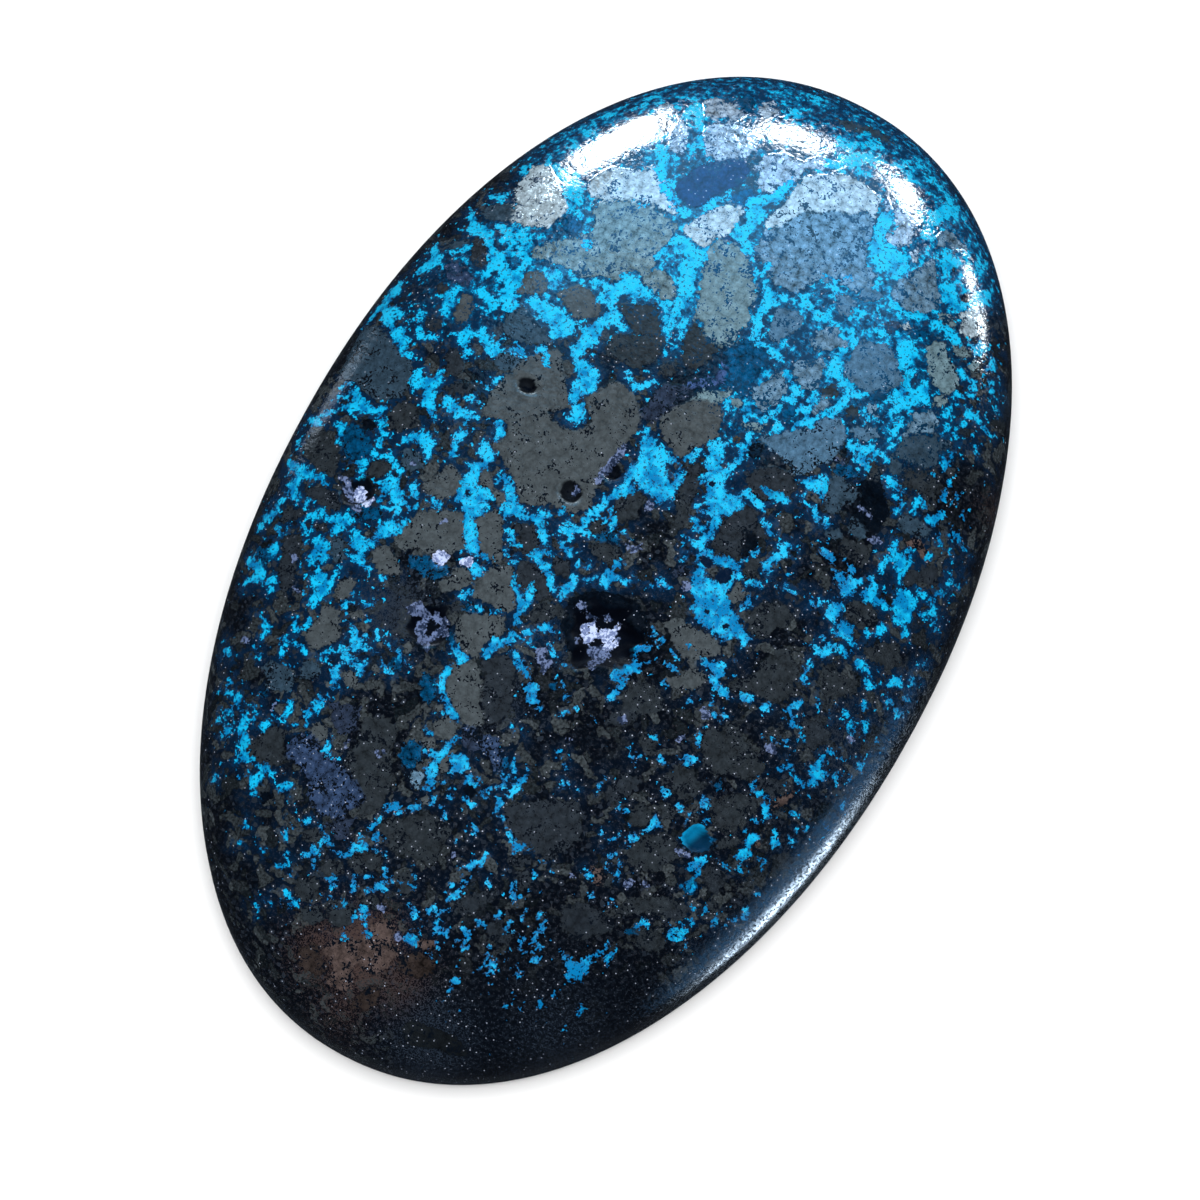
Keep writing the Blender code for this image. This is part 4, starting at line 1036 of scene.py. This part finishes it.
def stone_mesh():
    """A fine grid is drawn over the face and the girdle, and a coarse one over the back."""
    bm = bmesh.new()
    face = bmesh.ops.create_grid(bm, x_segments=FACE_CELLS[0], y_segments=FACE_CELLS[1], size=1)
    for vert in face["verts"]:
        vert.co.z = 1
    back = bmesh.ops.create_grid(
        bm,
        x_segments=FACE_CELLS[0] // BACK_SPLIT,
        y_segments=FACE_CELLS[1] // BACK_SPLIT,
        size=1,
    )
    bm.edges.index_update()
    rim = {edge for vert in back["verts"] for edge in vert.link_edges if edge.is_boundary}
    bmesh.ops.subdivide_edges(bm, edges=sorted(rim, key=lambda e: e.index), cuts=BACK_SPLIT - 1)
    mesh = bpy.data.meshes.new(STONE + "_polished")
    bm.to_mesh(mesh)
    flat = places_of(mesh)
    ring, turn = disc_from_square(flat[:, 0], flat[:, 1])
    on_face = flat[:, 2] > 0.5
    along, reach, height = section()
    gone = ring * along[-1]
    out = np.where(on_face, np.interp(gone, along, reach), ring * BACK_BEVEL_REACH)
    x, y = girdle(turn)
    place = np.stack([x * out, y * out, np.where(on_face, np.interp(gone, along, height), 0)], 1)
    place[:, 1] += (LOW.y + HIGH.y) / 2 - (place[:, 1].min() + place[:, 1].max()) / 2
    mesh.vertices.foreach_set("co", place.ravel())
    keep(mesh, "spread", np.stack([x * gone, y * gone, np.zeros(len(x))], 1) / MM)
    bm.clear()
    bm.from_mesh(mesh)
    bmesh.ops.remove_doubles(bm, verts=bm.verts, dist=MERGE_DISTANCE)
    bmesh.ops.recalc_face_normals(bm, faces=bm.faces)
    bm.to_mesh(mesh)
    bm.free()
    mesh.shade_smooth()
    return mesh


class Drawing:
    """Carries places in the photograph onto the stone, in millimetres across and along it."""

    def __init__(self, mesh, camera):
        bm = bmesh.new()
        bm.from_mesh(mesh)
        self.tree = BVHTree.FromBMesh(bm)
        bm.free()
        self.eye = camera.location.copy()
        self.turn = camera.rotation_euler.to_matrix()

    def ray(self, x, y):
        half = PHOTO_SIZE / 2
        slope = SENSOR / LENS / PHOTO_SIZE
        return self.turn @ Vector(((x - half) * slope, (half - y) * slope, -1)).normalized()

    def place(self, x, y):
        ray = self.ray(x, y)
        hit = self.tree.ray_cast(self.eye, ray)[0]
        if hit is None:
            hit = self.eye + ray * ((GIRDLE_TOP - self.eye.z) / ray.z)
        return hit.x / MM, hit.y / MM

    def mirrored(self, x, y):
        """The place on the stone, and the direction that it mirrors to the camera."""
        ray = self.ray(x, y)
        hit, normal = self.tree.ray_cast(self.eye, ray)[:2]
        return hit, ray.reflect(normal)

    def outline(self, points):
        return np.array([self.place(*point) for point in points])

    def beads(self, beads):
        return np.array([(*self.place(x, y), radius * PIXEL / MM) for x, y, radius in beads])


def near(places, low, high, margin):
    """Which places lie in a box, with a margin round it."""
    return np.flatnonzero(np.all((places > low - margin) & (places < high + margin), axis=1))


def depth_in_outline(places, outline):
    """How deep each place lies inside a closed outline, negative outside it."""
    start = outline[None]
    run = np.roll(outline, -1, 0)[None] - start
    off = places[:, None] - start
    t = np.clip((off * run).sum(2) / np.maximum((run**2).sum(2), 1e-9), 0, 1)
    gap = np.linalg.norm(off - run * t[..., None], axis=2).min(1)
    crosses = (off[..., 1] >= 0) != (off[..., 1] >= run[..., 1])
    rise = np.where(run[..., 1] == 0, 1, run[..., 1])
    left = off[..., 0] < off[..., 1] * run[..., 0] / rise
    return np.where((crosses & left).sum(1) % 2 == 1, gap, -gap)


def depth_in_beads(places, beads):
    """How deep each place lies inside a string of beads, negative outside it."""
    deepest = np.full(len(places), -1e3)
    for a, b in zip(beads, beads[1:] if len(beads) > 1 else beads):
        run = b[:2] - a[:2]
        off = places - a[:2]
        t = np.clip(off @ run / max(run @ run, 1e-9), 0, 1)
        depth = a[2] + (b[2] - a[2]) * t - np.linalg.norm(off - run * t[:, None], axis=1)
        deepest = np.maximum(deepest, depth)
    return deepest


def clast_fields(flat, drawing):
    """Depth in the nearest drawn clast, and that clast's rock."""
    depth = np.full(len(flat), -FAR)
    rock = np.tile(np.array(NO_ROCK), (len(flat), 1))
    for name, outlines in CLASTS.items():
        colour, *nature = ROCKS[name]
        for points in outlines:
            outline = drawing.outline(points)
            some = near(flat, outline.min(0), outline.max(0), FAR)
            inside = depth_in_outline(flat[some], outline)
            better = inside > depth[some]
            depth[some[better]] = inside[better]
            rock[some[better]] = (*colour, *nature)
    return depth, rock


def bead_field(flat, strings, drawing):
    depth = np.full(len(flat), -FAR)
    for string in strings:
        beads = drawing.beads(string)
        reach = beads[:, 2].max() + FAR
        some = near(flat, beads[:, :2].min(0), beads[:, :2].max(0), reach)
        depth[some] = np.maximum(depth[some], depth_in_beads(flat[some], beads))
    return depth


def patch_field(flat, drawing, patches):
    """Soft round patches of some amount each; where they meet, the greater counts."""
    much = np.zeros(len(flat))
    for x, y, reach, amount in patches:
        gap = np.linalg.norm(flat - drawing.place(x, y), axis=1) / (reach * PIXEL / MM)
        much = np.maximum(much, amount * np.exp(-(gap**2)))
    return much


def pit_fields(flat, drawing, pits):
    """How far each place is sunk in an open pit with a ragged edge, and how worn it is there."""
    sunk = np.zeros(len(flat))
    worn = np.zeros(len(flat))
    for x, y, radius, depth in pits:
        middle = drawing.place(x, y)
        size = radius * PIXEL / MM
        for index in near(flat, np.array(middle), np.array(middle), PIT_REACH * size):
            spot = flat[index]
            ragged = noise.noise(Vector((*(spot * PIT_LUMPS), depth)))
            gap = math.dist(spot, middle) / size * (1 + PIT_RAGGEDNESS * ragged)
            sunk[index] = max(sunk[index], depth * min(1, max(0, (1 - gap**2) * PIT_EDGE)))
            rim = min(1, max(0, (WORN_REACH - gap) * WORN_EDGE))
            worn[index] = max(worn[index], rim)
    return sunk, worn


def draw_on_stone(mesh, drawing):
    """Stores the drawn pattern in the mesh, and sinks its pits."""
    places = places_of(mesh)
    flat = places[:, :2] / MM
    on_face = np.clip((places[:, 2] - GIRDLE_TOP) / GIRDLE_TOP, 0, 1)
    clast, rock = clast_fields(flat, drawing)
    fields = {
        "clast_depth": clast,
        "turquoise_depth": bead_field(flat, TURQUOISE, drawing),
        "dark_depth": bead_field(flat, DARK_SPOTS, drawing),
        "bright_quartz_depth": bead_field(flat, BRIGHT_QUARTZ, drawing),
        "dull_quartz_depth": bead_field(flat, DULL_QUARTZ, drawing),
    }
    for name, depth in fields.items():
        keep(mesh, name, depth * on_face - FAR * (1 - on_face))
    off_face = 1 - on_face
    keep(mesh, "plenty", np.maximum(patch_field(flat, drawing, PLENTY), RIM_PLENTY * off_face))
    keep(mesh, "dark_rock_and_shade", np.maximum(patch_field(flat, drawing, DARK_ROCK_AND_SHADE), RIM_DARK_ROCK_AND_SHADE * off_face))
    for name, patches in (("satin", SATIN), ("warmth", WARMTH), ("dust", DUST)):
        keep(mesh, name, patch_field(flat, drawing, patches))
    keep(mesh, "rock_colour", rock[:, :3])
    keep(mesh, "rock_nature", rock[:, 3:])
    keep(mesh, "polish", np.clip(places[:, 2] / BACK_BEVEL, 0, 1))
    sunk, worn = pit_fields(flat, drawing, PITS)
    well, wet = pit_fields(flat, drawing, WELLS)
    keep(mesh, "worn", np.maximum(worn, wet) * on_face)
    keep(mesh, "sunk", sunk * on_face)
    keep(mesh, "well", wet * on_face)
    # Painted light in the well: a slope across it, brighter towards WELL_LIGHT
    middle = np.array(drawing.place(*WELLS[0][:2]))
    side = (flat - middle) @ np.array(WELL_LIGHT)
    keep(mesh, "well_light", 0.5 + side / (WELLS[0][2] * PIXEL / MM))
    sunk = np.maximum(sunk, well) * on_face
    normals = np.empty(len(places) * 3)
    mesh.vertices.foreach_get("normal", normals)
    places -= normals.reshape(-1, 3) * sunk[:, None] * MM
    mesh.vertices.foreach_set("co", places.ravel())
    mesh.update()


class Number:
    """A number that a material works out at each place on the stone."""

    def __init__(self, recipe, socket):
        self.recipe = recipe
        self.socket = socket

    def __add__(self, other):
        return self.recipe.maths("ADD", self, other)

    def __sub__(self, other):
        return self.recipe.maths("SUBTRACT", self, other)

    def __rsub__(self, other):
        return self.recipe.maths("SUBTRACT", other, self)

    def __mul__(self, other):
        return self.recipe.maths("MULTIPLY", self, other)

    def __gt__(self, other):
        return self.recipe.maths("GREATER_THAN", self, other)

    def or_more(self, other):
        return self.recipe.maths("MAXIMUM", self, other)

    def beyond(self, low, high):
        """0 below low, 1 above high, and smooth between them; low may be the greater one."""
        inputs = {"Value": self, "From Min": low, "From Max": high}
        made = self.recipe.node("ShaderNodeMapRange", inputs, interpolation_type="SMOOTHSTEP")
        return Number(self.recipe, made.outputs["Result"])


class Recipe:
    """A material built from shader nodes."""

    def __init__(self, name):
        self.material = bpy.data.materials.new(name)
        self.material.use_nodes = True
        self.tree = self.material.node_tree
        self.shader = self.tree.nodes["Principled BSDF"]

    def feed(self, socket, value):
        if isinstance(value, Number):
            value = value.socket
        if isinstance(value, bpy.types.NodeSocket):
            self.tree.links.new(value, socket)
        else:
            socket.default_value = value

    def node(self, kind, inputs, **settings):
        made = self.tree.nodes.new(kind)
        for name, value in settings.items():
            setattr(made, name, value)
        for socket, value in inputs.items():
            self.feed(made.inputs[socket], value)
        return made

    def maths(self, operation, a, b):
        made = self.node("ShaderNodeMath", {0: a, 1: b}, operation=operation)
        return Number(self, made.outputs[0])

    def mix(self, amount, a, b):
        """Colour a where the amount is 0, and b where it is 1."""
        made = self.node("ShaderNodeMix", {0: amount, 6: a, 7: b}, data_type="RGBA")
        return made.outputs[2]

    def scaled(self, vector, amount):
        inputs = {0: vector, "Scale": amount}
        return self.node("ShaderNodeVectorMath", inputs, operation="SCALE").outputs[0]

    def parts(self, vector):
        made = self.node("ShaderNodeSeparateXYZ", {0: vector})
        return [Number(self, part) for part in made.outputs]

    def attribute(self, name):
        made = self.node("ShaderNodeAttribute", {}, attribute_name=name)
        return Number(self, made.outputs["Fac"])

    def row_attribute(self, name):
        """An attribute of three numbers: a place, or a colour."""
        return self.node("ShaderNodeAttribute", {}, attribute_name=name).outputs["Vector"]

    def grains(self, where, scale):
        """Distance from the nearest of many scattered points, and three numbers of its own."""
        inputs = {"Vector": where, "Scale": scale}
        made = self.node("ShaderNodeTexVoronoi", inputs, voronoi_dimensions="2D")
        return Number(self, made.outputs["Distance"]), *self.parts(made.outputs["Color"])


def rgb(red, green, blue):
    return (red, green, blue, 1.0)


# The rock's patterns, in repeats to a millimetre
COARSE = 1.7
SWELL = 0.9
FINE = 6.5
LACE = 3.1
PORE = 9.5
DUSTY = 17.0
PEBBLES = 1.6
GRAINS = 3.6
# How far two of the patterns push the pebbles about, and half a crisp edge, in millimetres
PUSH = 1.3
CRISP = 0.012

# The dark rock between the clasts
JET = rgb(0.0008, 0.0016, 0.0036)
SOOT = rgb(0.004, 0.007, 0.012)
FAR_BLUE = rgb(0.0012, 0.0125, 0.037)
NEAR_BLUE = rgb(0.0012, 0.024, 0.070)
GRAIN_DARK = rgb(0.002, 0.004, 0.008)
GRAIN_PALE = rgb(0.014, 0.020, 0.030)
PEBBLE_DARK = rgb(0.002, 0.004, 0.006)
PEBBLE_PALE = rgb(0.030, 0.038, 0.043)
FLOOD_DEEP = rgb(0.001, 0.026, 0.075)
FLOOD_BRIGHT = rgb(0.003, 0.12, 0.28)
GRIT = {"warmth": rgb(0.046, 0.030, 0.027), "dust": rgb(0.013, 0.020, 0.032)}
# Pores in the clasts, and the turquoise
PORE_BLACK = rgb(0.002, 0.004, 0.008)
PORE_BLUE = rgb(0.002, 0.060, 0.15)
BLUE_DIM = rgb(0.001, 0.15, 0.36)
BLUE_BRIGHT = rgb(0.005, 0.39, 0.66)
BLUE_FRINGE = rgb(0.001, 0.078, 0.230)
BLUE_FLECK = rgb(0.001, 0.020, 0.060)
# Spots, pits, wells and crystals, with painted shade in the pits, painted light on one side of the wells
# and on the crystals' facets, and a painted glint
SPOT_BLACK = rgb(0.001, 0.006, 0.020)
PIT_PAINTED_SHADE = rgb(0.0012, 0.0020, 0.0045)
# A well's painted shaded side and painted lit side
WELL_SHADED_SIDE = rgb(0.001, 0.020, 0.050)
WELL_LIT_SIDE = rgb(0.002, 0.20, 0.40)
# The crystals' own lilac colours, each in a shaded and a lit copy: painted light and shade on their
# facets
DULL_SHADED_FACET = rgb(0.010, 0.018, 0.042)
DULL_LIT_FACET = rgb(0.100, 0.140, 0.26)
BRIGHT_SHADED_FACET = rgb(0.11, 0.15, 0.29)
BRIGHT_LIT_FACET = rgb(0.42, 0.50, 0.72)
# A painted glint: bright specks of colour that stand in for light sparkling off grains
PAINTED_GLINT = rgb(0.45, 0.50, 0.62)

# The polish's roughness, and what smears, matt specks, satin, wear and the ground back add to it
POLISH = 0.06
SMEARED = 0.08
MATT = 0.07
SATIN_MATT = 0.25
SATIN_ROUGH = 0.20
WORN_ROUGH = 0.4
BACK_ROUGH = 0.35
# How much it mirrors, how much less where it is worn, and how metallic the clasts look
GLOSS = 0.5
WORN_GLOSS = 0.46
CLAST_METALLIC = 0.20
# The relief of its fine and coarse waves, of the proud clasts and the low turquoise
FINE_WAVE = 0.010
COARSE_WAVE = 0.020
PROUD = 0.006
LOW_BLUE = 0.004
RELIEF_EDGE = 0.04
RELIEF_STRENGTH = 0.6


class Breccia(Recipe):
    """Dark matrix with clasts of several rocks, and turquoise in the gaps between them.

    What is called a depth is in millimetres, and negative outside.
    """

    def __init__(self, name):
        super().__init__(name)
        self.where = self.row_attribute("spread")
        self.plenty = self.attribute("plenty")
        self.dark_rock_and_shade = self.attribute("dark_rock_and_shade")
        self.add_patterns()
        self.add_pebbles()
        self.add_clasts()
        self.add_turquoise()

    def speckle(self, scale, detail, roughness=0.55):
        """Noise round 0."""
        inputs = {"Vector": self.where, "Scale": scale, "Detail": detail, "Roughness": roughness}
        made = self.node("ShaderNodeTexNoise", inputs, noise_dimensions="2D")
        return Number(self, made.outputs["Fac"]) - 0.5

    def add_patterns(self):
        self.coarse = self.speckle(COARSE, 2.0)
        self.fine = self.speckle(FINE, 2.0, 0.65)
        self.lace = self.speckle(LACE, 3.0, 0.66)
        self.pore = self.speckle(PORE, 2.0, 0.6)
        self.wander = self.fine * 0.42 + self.coarse * 0.30
        # Dark rock, and painted shade towards the bottom edge: shade darkens the rock past a third,
        # dimness dims the turquoise and its haze
        self.shade = self.dark_rock_and_shade.beyond(1.0, 0.35)
        self.dimness = self.dark_rock_and_shade.beyond(0.05, 0.55)
        self.flooded = self.plenty.beyond(0.8, 2.6)

    def add_pebbles(self):
        """Pebbles and grains with no drawing of their own."""
        swell = self.speckle(SWELL, 0.0)
        push = self.node("ShaderNodeCombineXYZ", {0: self.coarse, 1: swell}).outputs[0]
        inputs = {0: self.where, 1: self.scaled(push, PUSH)}
        bent = self.node("ShaderNodeVectorMath", inputs, operation="ADD").outputs[0]
        gap, size, self.pebble_tone, pick = self.grains(bent, PEBBLES)
        self.pebble_depth = size * 0.32 + 0.24 - gap + self.fine * 0.35
        shown = pick.beyond(0.20, 0.30) * (1 - self.plenty.beyond(0.9, 1.6))
        self.pebble = self.pebble_depth.beyond(-CRISP, CRISP) * shown
        self.grain_gap, self.grain_size, self.grain_tone, pick = self.grains(self.where, GRAINS)
        depth = self.grain_size * 0.30 + 0.14 - self.grain_gap + self.fine * 0.5
        self.grain = depth.beyond(-0.03, 0.03) * pick.beyond(0.30, 0.40)

    def add_clasts(self):
        """The drawn clasts, crumbly at the edge where their rock is granular."""
        self.clast_depth = self.attribute("clast_depth")
        self.porous, self.granular, self.painted_glint_share = self.parts(self.row_attribute("rock_nature"))
        crumb = (0.34 - self.grain_gap) * self.granular
        self.clast_edge = self.clast_depth + self.wander * 0.75 + crumb * 0.30
        self.drawn = self.clast_edge.beyond(-CRISP, CRISP)

    def add_turquoise(self):
        """Turquoise, drawn and scattered, and the blue haze round it."""
        self.drawn_blue = self.attribute("turquoise_depth")
        depth = self.drawn_blue - 0.008 + self.wander * 0.95 + self.lace * 0.42 - self.dark_rock_and_shade * 0.07
        close = self.drawn_blue.beyond(-0.70, -0.05)
        spread = self.plenty * 0.05 - 0.25 + close * 0.10 + self.lace - self.dark_rock_and_shade * 0.08
        self.lace_depth = spread - self.pebble * 0.05 - self.drawn * 0.16
        any_depth = depth.or_more(self.lace_depth)
        self.blue = any_depth.beyond(-0.010, 0.014)
        self.heart = any_depth.beyond(-0.005, 0.055)
        smooth = self.drawn_blue + self.coarse * 0.9
        clear = 1 - self.dimness
        self.near_haze = (smooth + self.lace * 0.8).beyond(-0.13, 0.0) * clear
        self.far_haze = smooth.beyond(-0.80, -0.10) * clear

    def matrix_colour(self):
        matrix = self.mix(self.fine.beyond(-0.02, 0.20), JET, SOOT)
        matrix = self.mix(self.far_haze, matrix, FAR_BLUE)
        grain = self.mix(self.grain_tone, GRAIN_DARK, GRAIN_PALE)
        # Grains and pebbles are darkened where the rock is dark and where shade is painted
        matrix = self.mix(self.grain * self.shade, matrix, grain)
        pebble = self.mix(self.pebble_tone, PEBBLE_DARK, PEBBLE_PALE)
        round_shade = (self.pebble_depth.beyond(0.0, 0.12) * 0.75 + 0.30) * self.shade
        pebble = self.scaled(pebble, round_shade * (self.pore * 3.0 + 1.0))
        matrix = self.mix(self.pebble * self.shade, matrix, pebble)
        matrix = self.mix(self.near_haze * 0.8, matrix, NEAR_BLUE)
        flood = self.mix(self.lace_depth.beyond(-0.16, 0.0), FLOOD_DEEP, FLOOD_BRIGHT)
        matrix = self.mix(self.flooded * 0.9, matrix, flood)
        grit = self.speckle(DUSTY, 1.0, 0.6) * 1.6 + self.fine * 1.2
        for patches, tint in GRIT.items():
            much = grit + self.attribute(patches)
            matrix = self.mix(much.beyond(0.20, 1.10), matrix, tint)
        return matrix

    def clast_colour(self):
        # Each grain's own tone, and painted nodule shading: lighter in a grain's middle, darker at its
        # border
        tone_and_nodule_shade = (self.grain_tone - 0.5) * 0.6 + (0.33 - self.grain_gap) * 1.2
        mottle = self.coarse * 1.6 + self.pore * 2.2 + tone_and_nodule_shade
        mottle = mottle * (self.granular + 0.22) + 1.0
        mottle = mottle * (self.clast_edge.beyond(0.0, 0.06) * 0.45 + 0.55)
        # Clasts are darkened where the rock is dark and where shade is painted
        mottle = mottle * (self.shade * 0.7 + 0.3)
        rock = self.scaled(self.row_attribute("rock_colour"), mottle.or_more(0.1))
        clumps = self.coarse * 0.9 + self.clast_edge.beyond(0.30, 0.0) * 0.05
        clumps = clumps + (self.grain_gap - 0.40) * (self.granular * 0.25)
        depth = self.pore + self.porous * 0.13 + clumps
        pore = self.mix(self.flooded * 0.7, PORE_BLACK, PORE_BLUE)
        return self.mix(depth.beyond(0.165, 0.19), rock, pore)

    def turquoise_colour(self):
        # Turquoise is dimmed where the rock is dark and where shade is painted
        tone = self.coarse + self.plenty * 0.05 + self.lace * 0.6 - self.dark_rock_and_shade * 0.40
        bright = self.mix(tone.beyond(-0.20, 0.16), BLUE_DIM, BLUE_BRIGHT)
        turquoise = self.mix(self.heart, BLUE_FRINGE, bright)
        flecks = (self.pore + self.fine * 0.6).beyond(0.10, 0.17)
        return self.mix(flecks * 0.85, turquoise, BLUE_FLECK)

    def with_pockets(self, colour):
        """Dark spots, pits darkened with painted shade, and wells with painted light on one side."""
        spots = self.attribute("dark_depth") + self.wander * 0.5
        colour = self.mix(spots.beyond(-0.02, 0.02), colour, SPOT_BLACK)
        # Painted shade in the pits, darker where they are sunk deeper
        colour = self.mix(self.attribute("sunk").beyond(0.01, 0.12) * 0.93, colour, PIT_PAINTED_SHADE)
        well = (self.attribute("well") + self.fine * 0.5).beyond(0.35, 0.60)
        # Painted light in the well: lit on one side and shaded on the other
        side = self.attribute("well_light").beyond(0.35, 0.85)
        return self.mix(well, colour, self.mix(side, WELL_SHADED_SIDE, WELL_LIT_SIDE))

    def with_crystals(self, colour):
        # Painted light and shade on the crystals: a noise picks lit and shaded facets of their own
        # colour
        lit_facet = (self.lace + self.pore).beyond(-0.12, 0.12)
        depth = self.attribute("dull_quartz_depth") + self.wander * 0.8
        dull = depth.beyond(-0.015, 0.02)
        colour = self.mix(dull, colour, self.mix(lit_facet, DULL_SHADED_FACET, DULL_LIT_FACET))
        depth = self.attribute("bright_quartz_depth") + self.wander * 0.7
        bright = depth.beyond(-0.015, 0.02)
        self.quartz = dull.or_more(bright)
        return self.mix(bright, colour, self.mix(lit_facet, BRIGHT_SHADED_FACET, BRIGHT_LIT_FACET))

    # Painted glints: bright specks on the grains that stand in for sparkle, not the grains' own colour
    def with_painted_glints(self, colour):
        rare = 1.0 - self.painted_glint_share * 0.36 - self.coarse * 1.8
        painted_glint = (self.grain_size > rare) * self.grain_gap.beyond(0.11, 0.04)
        return self.mix(painted_glint * (1 - self.blue) * self.grain_tone, colour, PAINTED_GLINT)

    def add_polish(self):
        smear = (self.fine + self.coarse * 0.8).beyond(-0.12, 0.14)
        matt = (self.pore + self.fine * 0.8).beyond(0.045, 0.11)
        satin = self.attribute("satin")
        worn = self.attribute("worn")
        roughness = smear * SMEARED + POLISH + matt * (satin * SATIN_MATT + MATT)
        roughness = roughness + satin * SATIN_ROUGH + worn * WORN_ROUGH
        roughness = roughness + (1 - self.attribute("polish")) * BACK_ROUGH
        metallic = self.drawn * (1 - self.quartz) * CLAST_METALLIC
        self.feed(self.shader.inputs["Roughness"], roughness)
        self.feed(self.shader.inputs["Metallic"], metallic)
        self.feed(self.shader.inputs["Specular IOR Level"], GLOSS - worn.beyond(0.0, 0.5) * WORN_GLOSS)

    def add_relief(self):
        proud = self.clast_depth.beyond(-RELIEF_EDGE, RELIEF_EDGE)
        low = self.drawn_blue.beyond(-RELIEF_EDGE, RELIEF_EDGE)
        height = self.fine * FINE_WAVE + self.coarse * COARSE_WAVE + proud * PROUD - low * LOW_BLUE
        inputs = {"Height": height * MM, "Strength": RELIEF_STRENGTH, "Distance": 1.0}
        bump = self.node("ShaderNodeBump", inputs)
        self.feed(self.shader.inputs["Normal"], bump.outputs["Normal"])


def breccia():
    rock = Breccia("polished_turquoise_breccia")
    colour = rock.mix(rock.drawn, rock.matrix_colour(), rock.clast_colour())
    colour = rock.mix(rock.blue, colour, rock.turquoise_colour())
    colour = rock.with_pockets(colour)
    colour = rock.with_crystals(colour)
    colour = rock.with_painted_glints(colour)
    rock.feed(rock.shader.inputs["Base Color"], colour)
    rock.add_polish()
    rock.add_relief()
    return rock.material


# The floor, a hair below the stone, in metres
FLOOR_SIZE = 0.6
FLOOR_GAP = 0.02 * MM
FLOOR_COLOUR = (0.85, 0.85, 0.85, 1)
FLOOR_ROUGHNESS = 0.9


def add_stone(mesh):
    mesh.materials.append(breccia())
    stone = bpy.data.objects.new(STONE + "_polished", mesh)
    bpy.context.scene.collection.objects.link(stone)
    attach(stone, "root")
    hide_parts(STONE)


def add_floor():
    bm = bmesh.new()
    bmesh.ops.create_grid(bm, x_segments=1, y_segments=1, size=FLOOR_SIZE)
    floor_mesh = bpy.data.meshes.new("floor")
    bm.to_mesh(floor_mesh)
    bm.free()
    floor = bpy.data.objects.new("floor", floor_mesh)
    floor.location.z = -FLOOR_GAP
    bpy.context.scene.collection.objects.link(floor)
    paint = bpy.data.materials.new("pale_floor")
    paint.use_nodes = True
    shader = paint.node_tree.nodes["Principled BSDF"]
    shader.inputs["Base Color"].default_value = FLOOR_COLOUR
    shader.inputs["Roughness"].default_value = FLOOR_ROUGHNESS
    floor_mesh.materials.append(paint)
    floor.visible_glossy = False


def add_lamp(name, place, target, size, power, mirrored_only, tint=(1, 1, 1)):
    data = bpy.data.lights.new(name, "AREA")
    data.shape = "RECTANGLE"
    data.size = size[0]
    data.size_y = size[1]
    data.energy = power
    data.color = tint
    lamp = bpy.data.objects.new(name, data)
    lamp.visible_glossy = mirrored_only
    lamp.visible_diffuse = not mirrored_only
    bpy.context.scene.collection.objects.link(lamp)
    look_from(lamp, place, target)


# What the polish mirrors: the pixel that shows its middle, width, height, brightness and tint
SKY = (0.20, 0.62, 1.0)
DAYLIGHT = (0.86, 0.95, 1.0)
PANES = {
    "left_window": (622, 138, 0.16, 0.26, 70, DAYLIGHT),
    "right_window": (791, 135, 0.15, 0.09, 80, DAYLIGHT),
    "corner_window": (905, 191, 0.13, 0.09, 90, DAYLIGHT),
    "upper_slit": (971, 280, 0.05, 0.10, 80, DAYLIGHT),
    "lower_slit": (982, 327, 0.05, 0.06, 80, DAYLIGHT),
    "soft_panel": (770, 165, 0.75, 0.50, 2.6, SKY),
    "wide_haze": (760, 225, 0.70, 0.42, 0.9, SKY),
    "left_sheen": (335, 395, 0.08, 0.22, 2.4, (0.7, 0.85, 1.0)),
    "ground_light": (785, 899, 0.16, 0.30, 22, (0.62, 0.80, 1.0)),
    "ground_glow": (778, 893, 0.40, 0.50, 2.0, (0.18, 0.50, 1.0)),
}
# From the stone, in metres
PANE_DISTANCE = 0.8
# The lamp above, whose light isn't mirrored, in metres and watts
LAMP_HEIGHT = 0.9
LAMP_SIZE = (1.2, 1.2)
LAMP_POWER = 20
AIR_COLOUR = (0.5, 0.6, 0.75, 1)
AIR_STRENGTH = 0.05


def add_light(drawing):
    world = bpy.data.worlds.new("studio")
    bpy.context.scene.world = world
    world.use_nodes = True
    air = world.node_tree.nodes["Background"]
    air.inputs["Color"].default_value = AIR_COLOUR
    air.inputs["Strength"].default_value = AIR_STRENGTH
    bpy.context.scene.view_settings.view_transform = "Standard"
    above = Vector((0, 0, LAMP_HEIGHT))
    add_lamp("overhead", above, Vector((0, 0, 0)), LAMP_SIZE, LAMP_POWER, False)
    for name, (x, y, width, height, brightness, tint) in PANES.items():
        hit, way = drawing.mirrored(x, y)
        power = brightness * math.pi * width * height
        add_lamp(name, hit + way * PANE_DISTANCE, hit, (width, height), power, True, tint)


stone = stone_mesh()
drawing = Drawing(stone, add_camera())
draw_on_stone(stone, drawing)
add_stone(stone)
add_floor()
add_light(drawing)
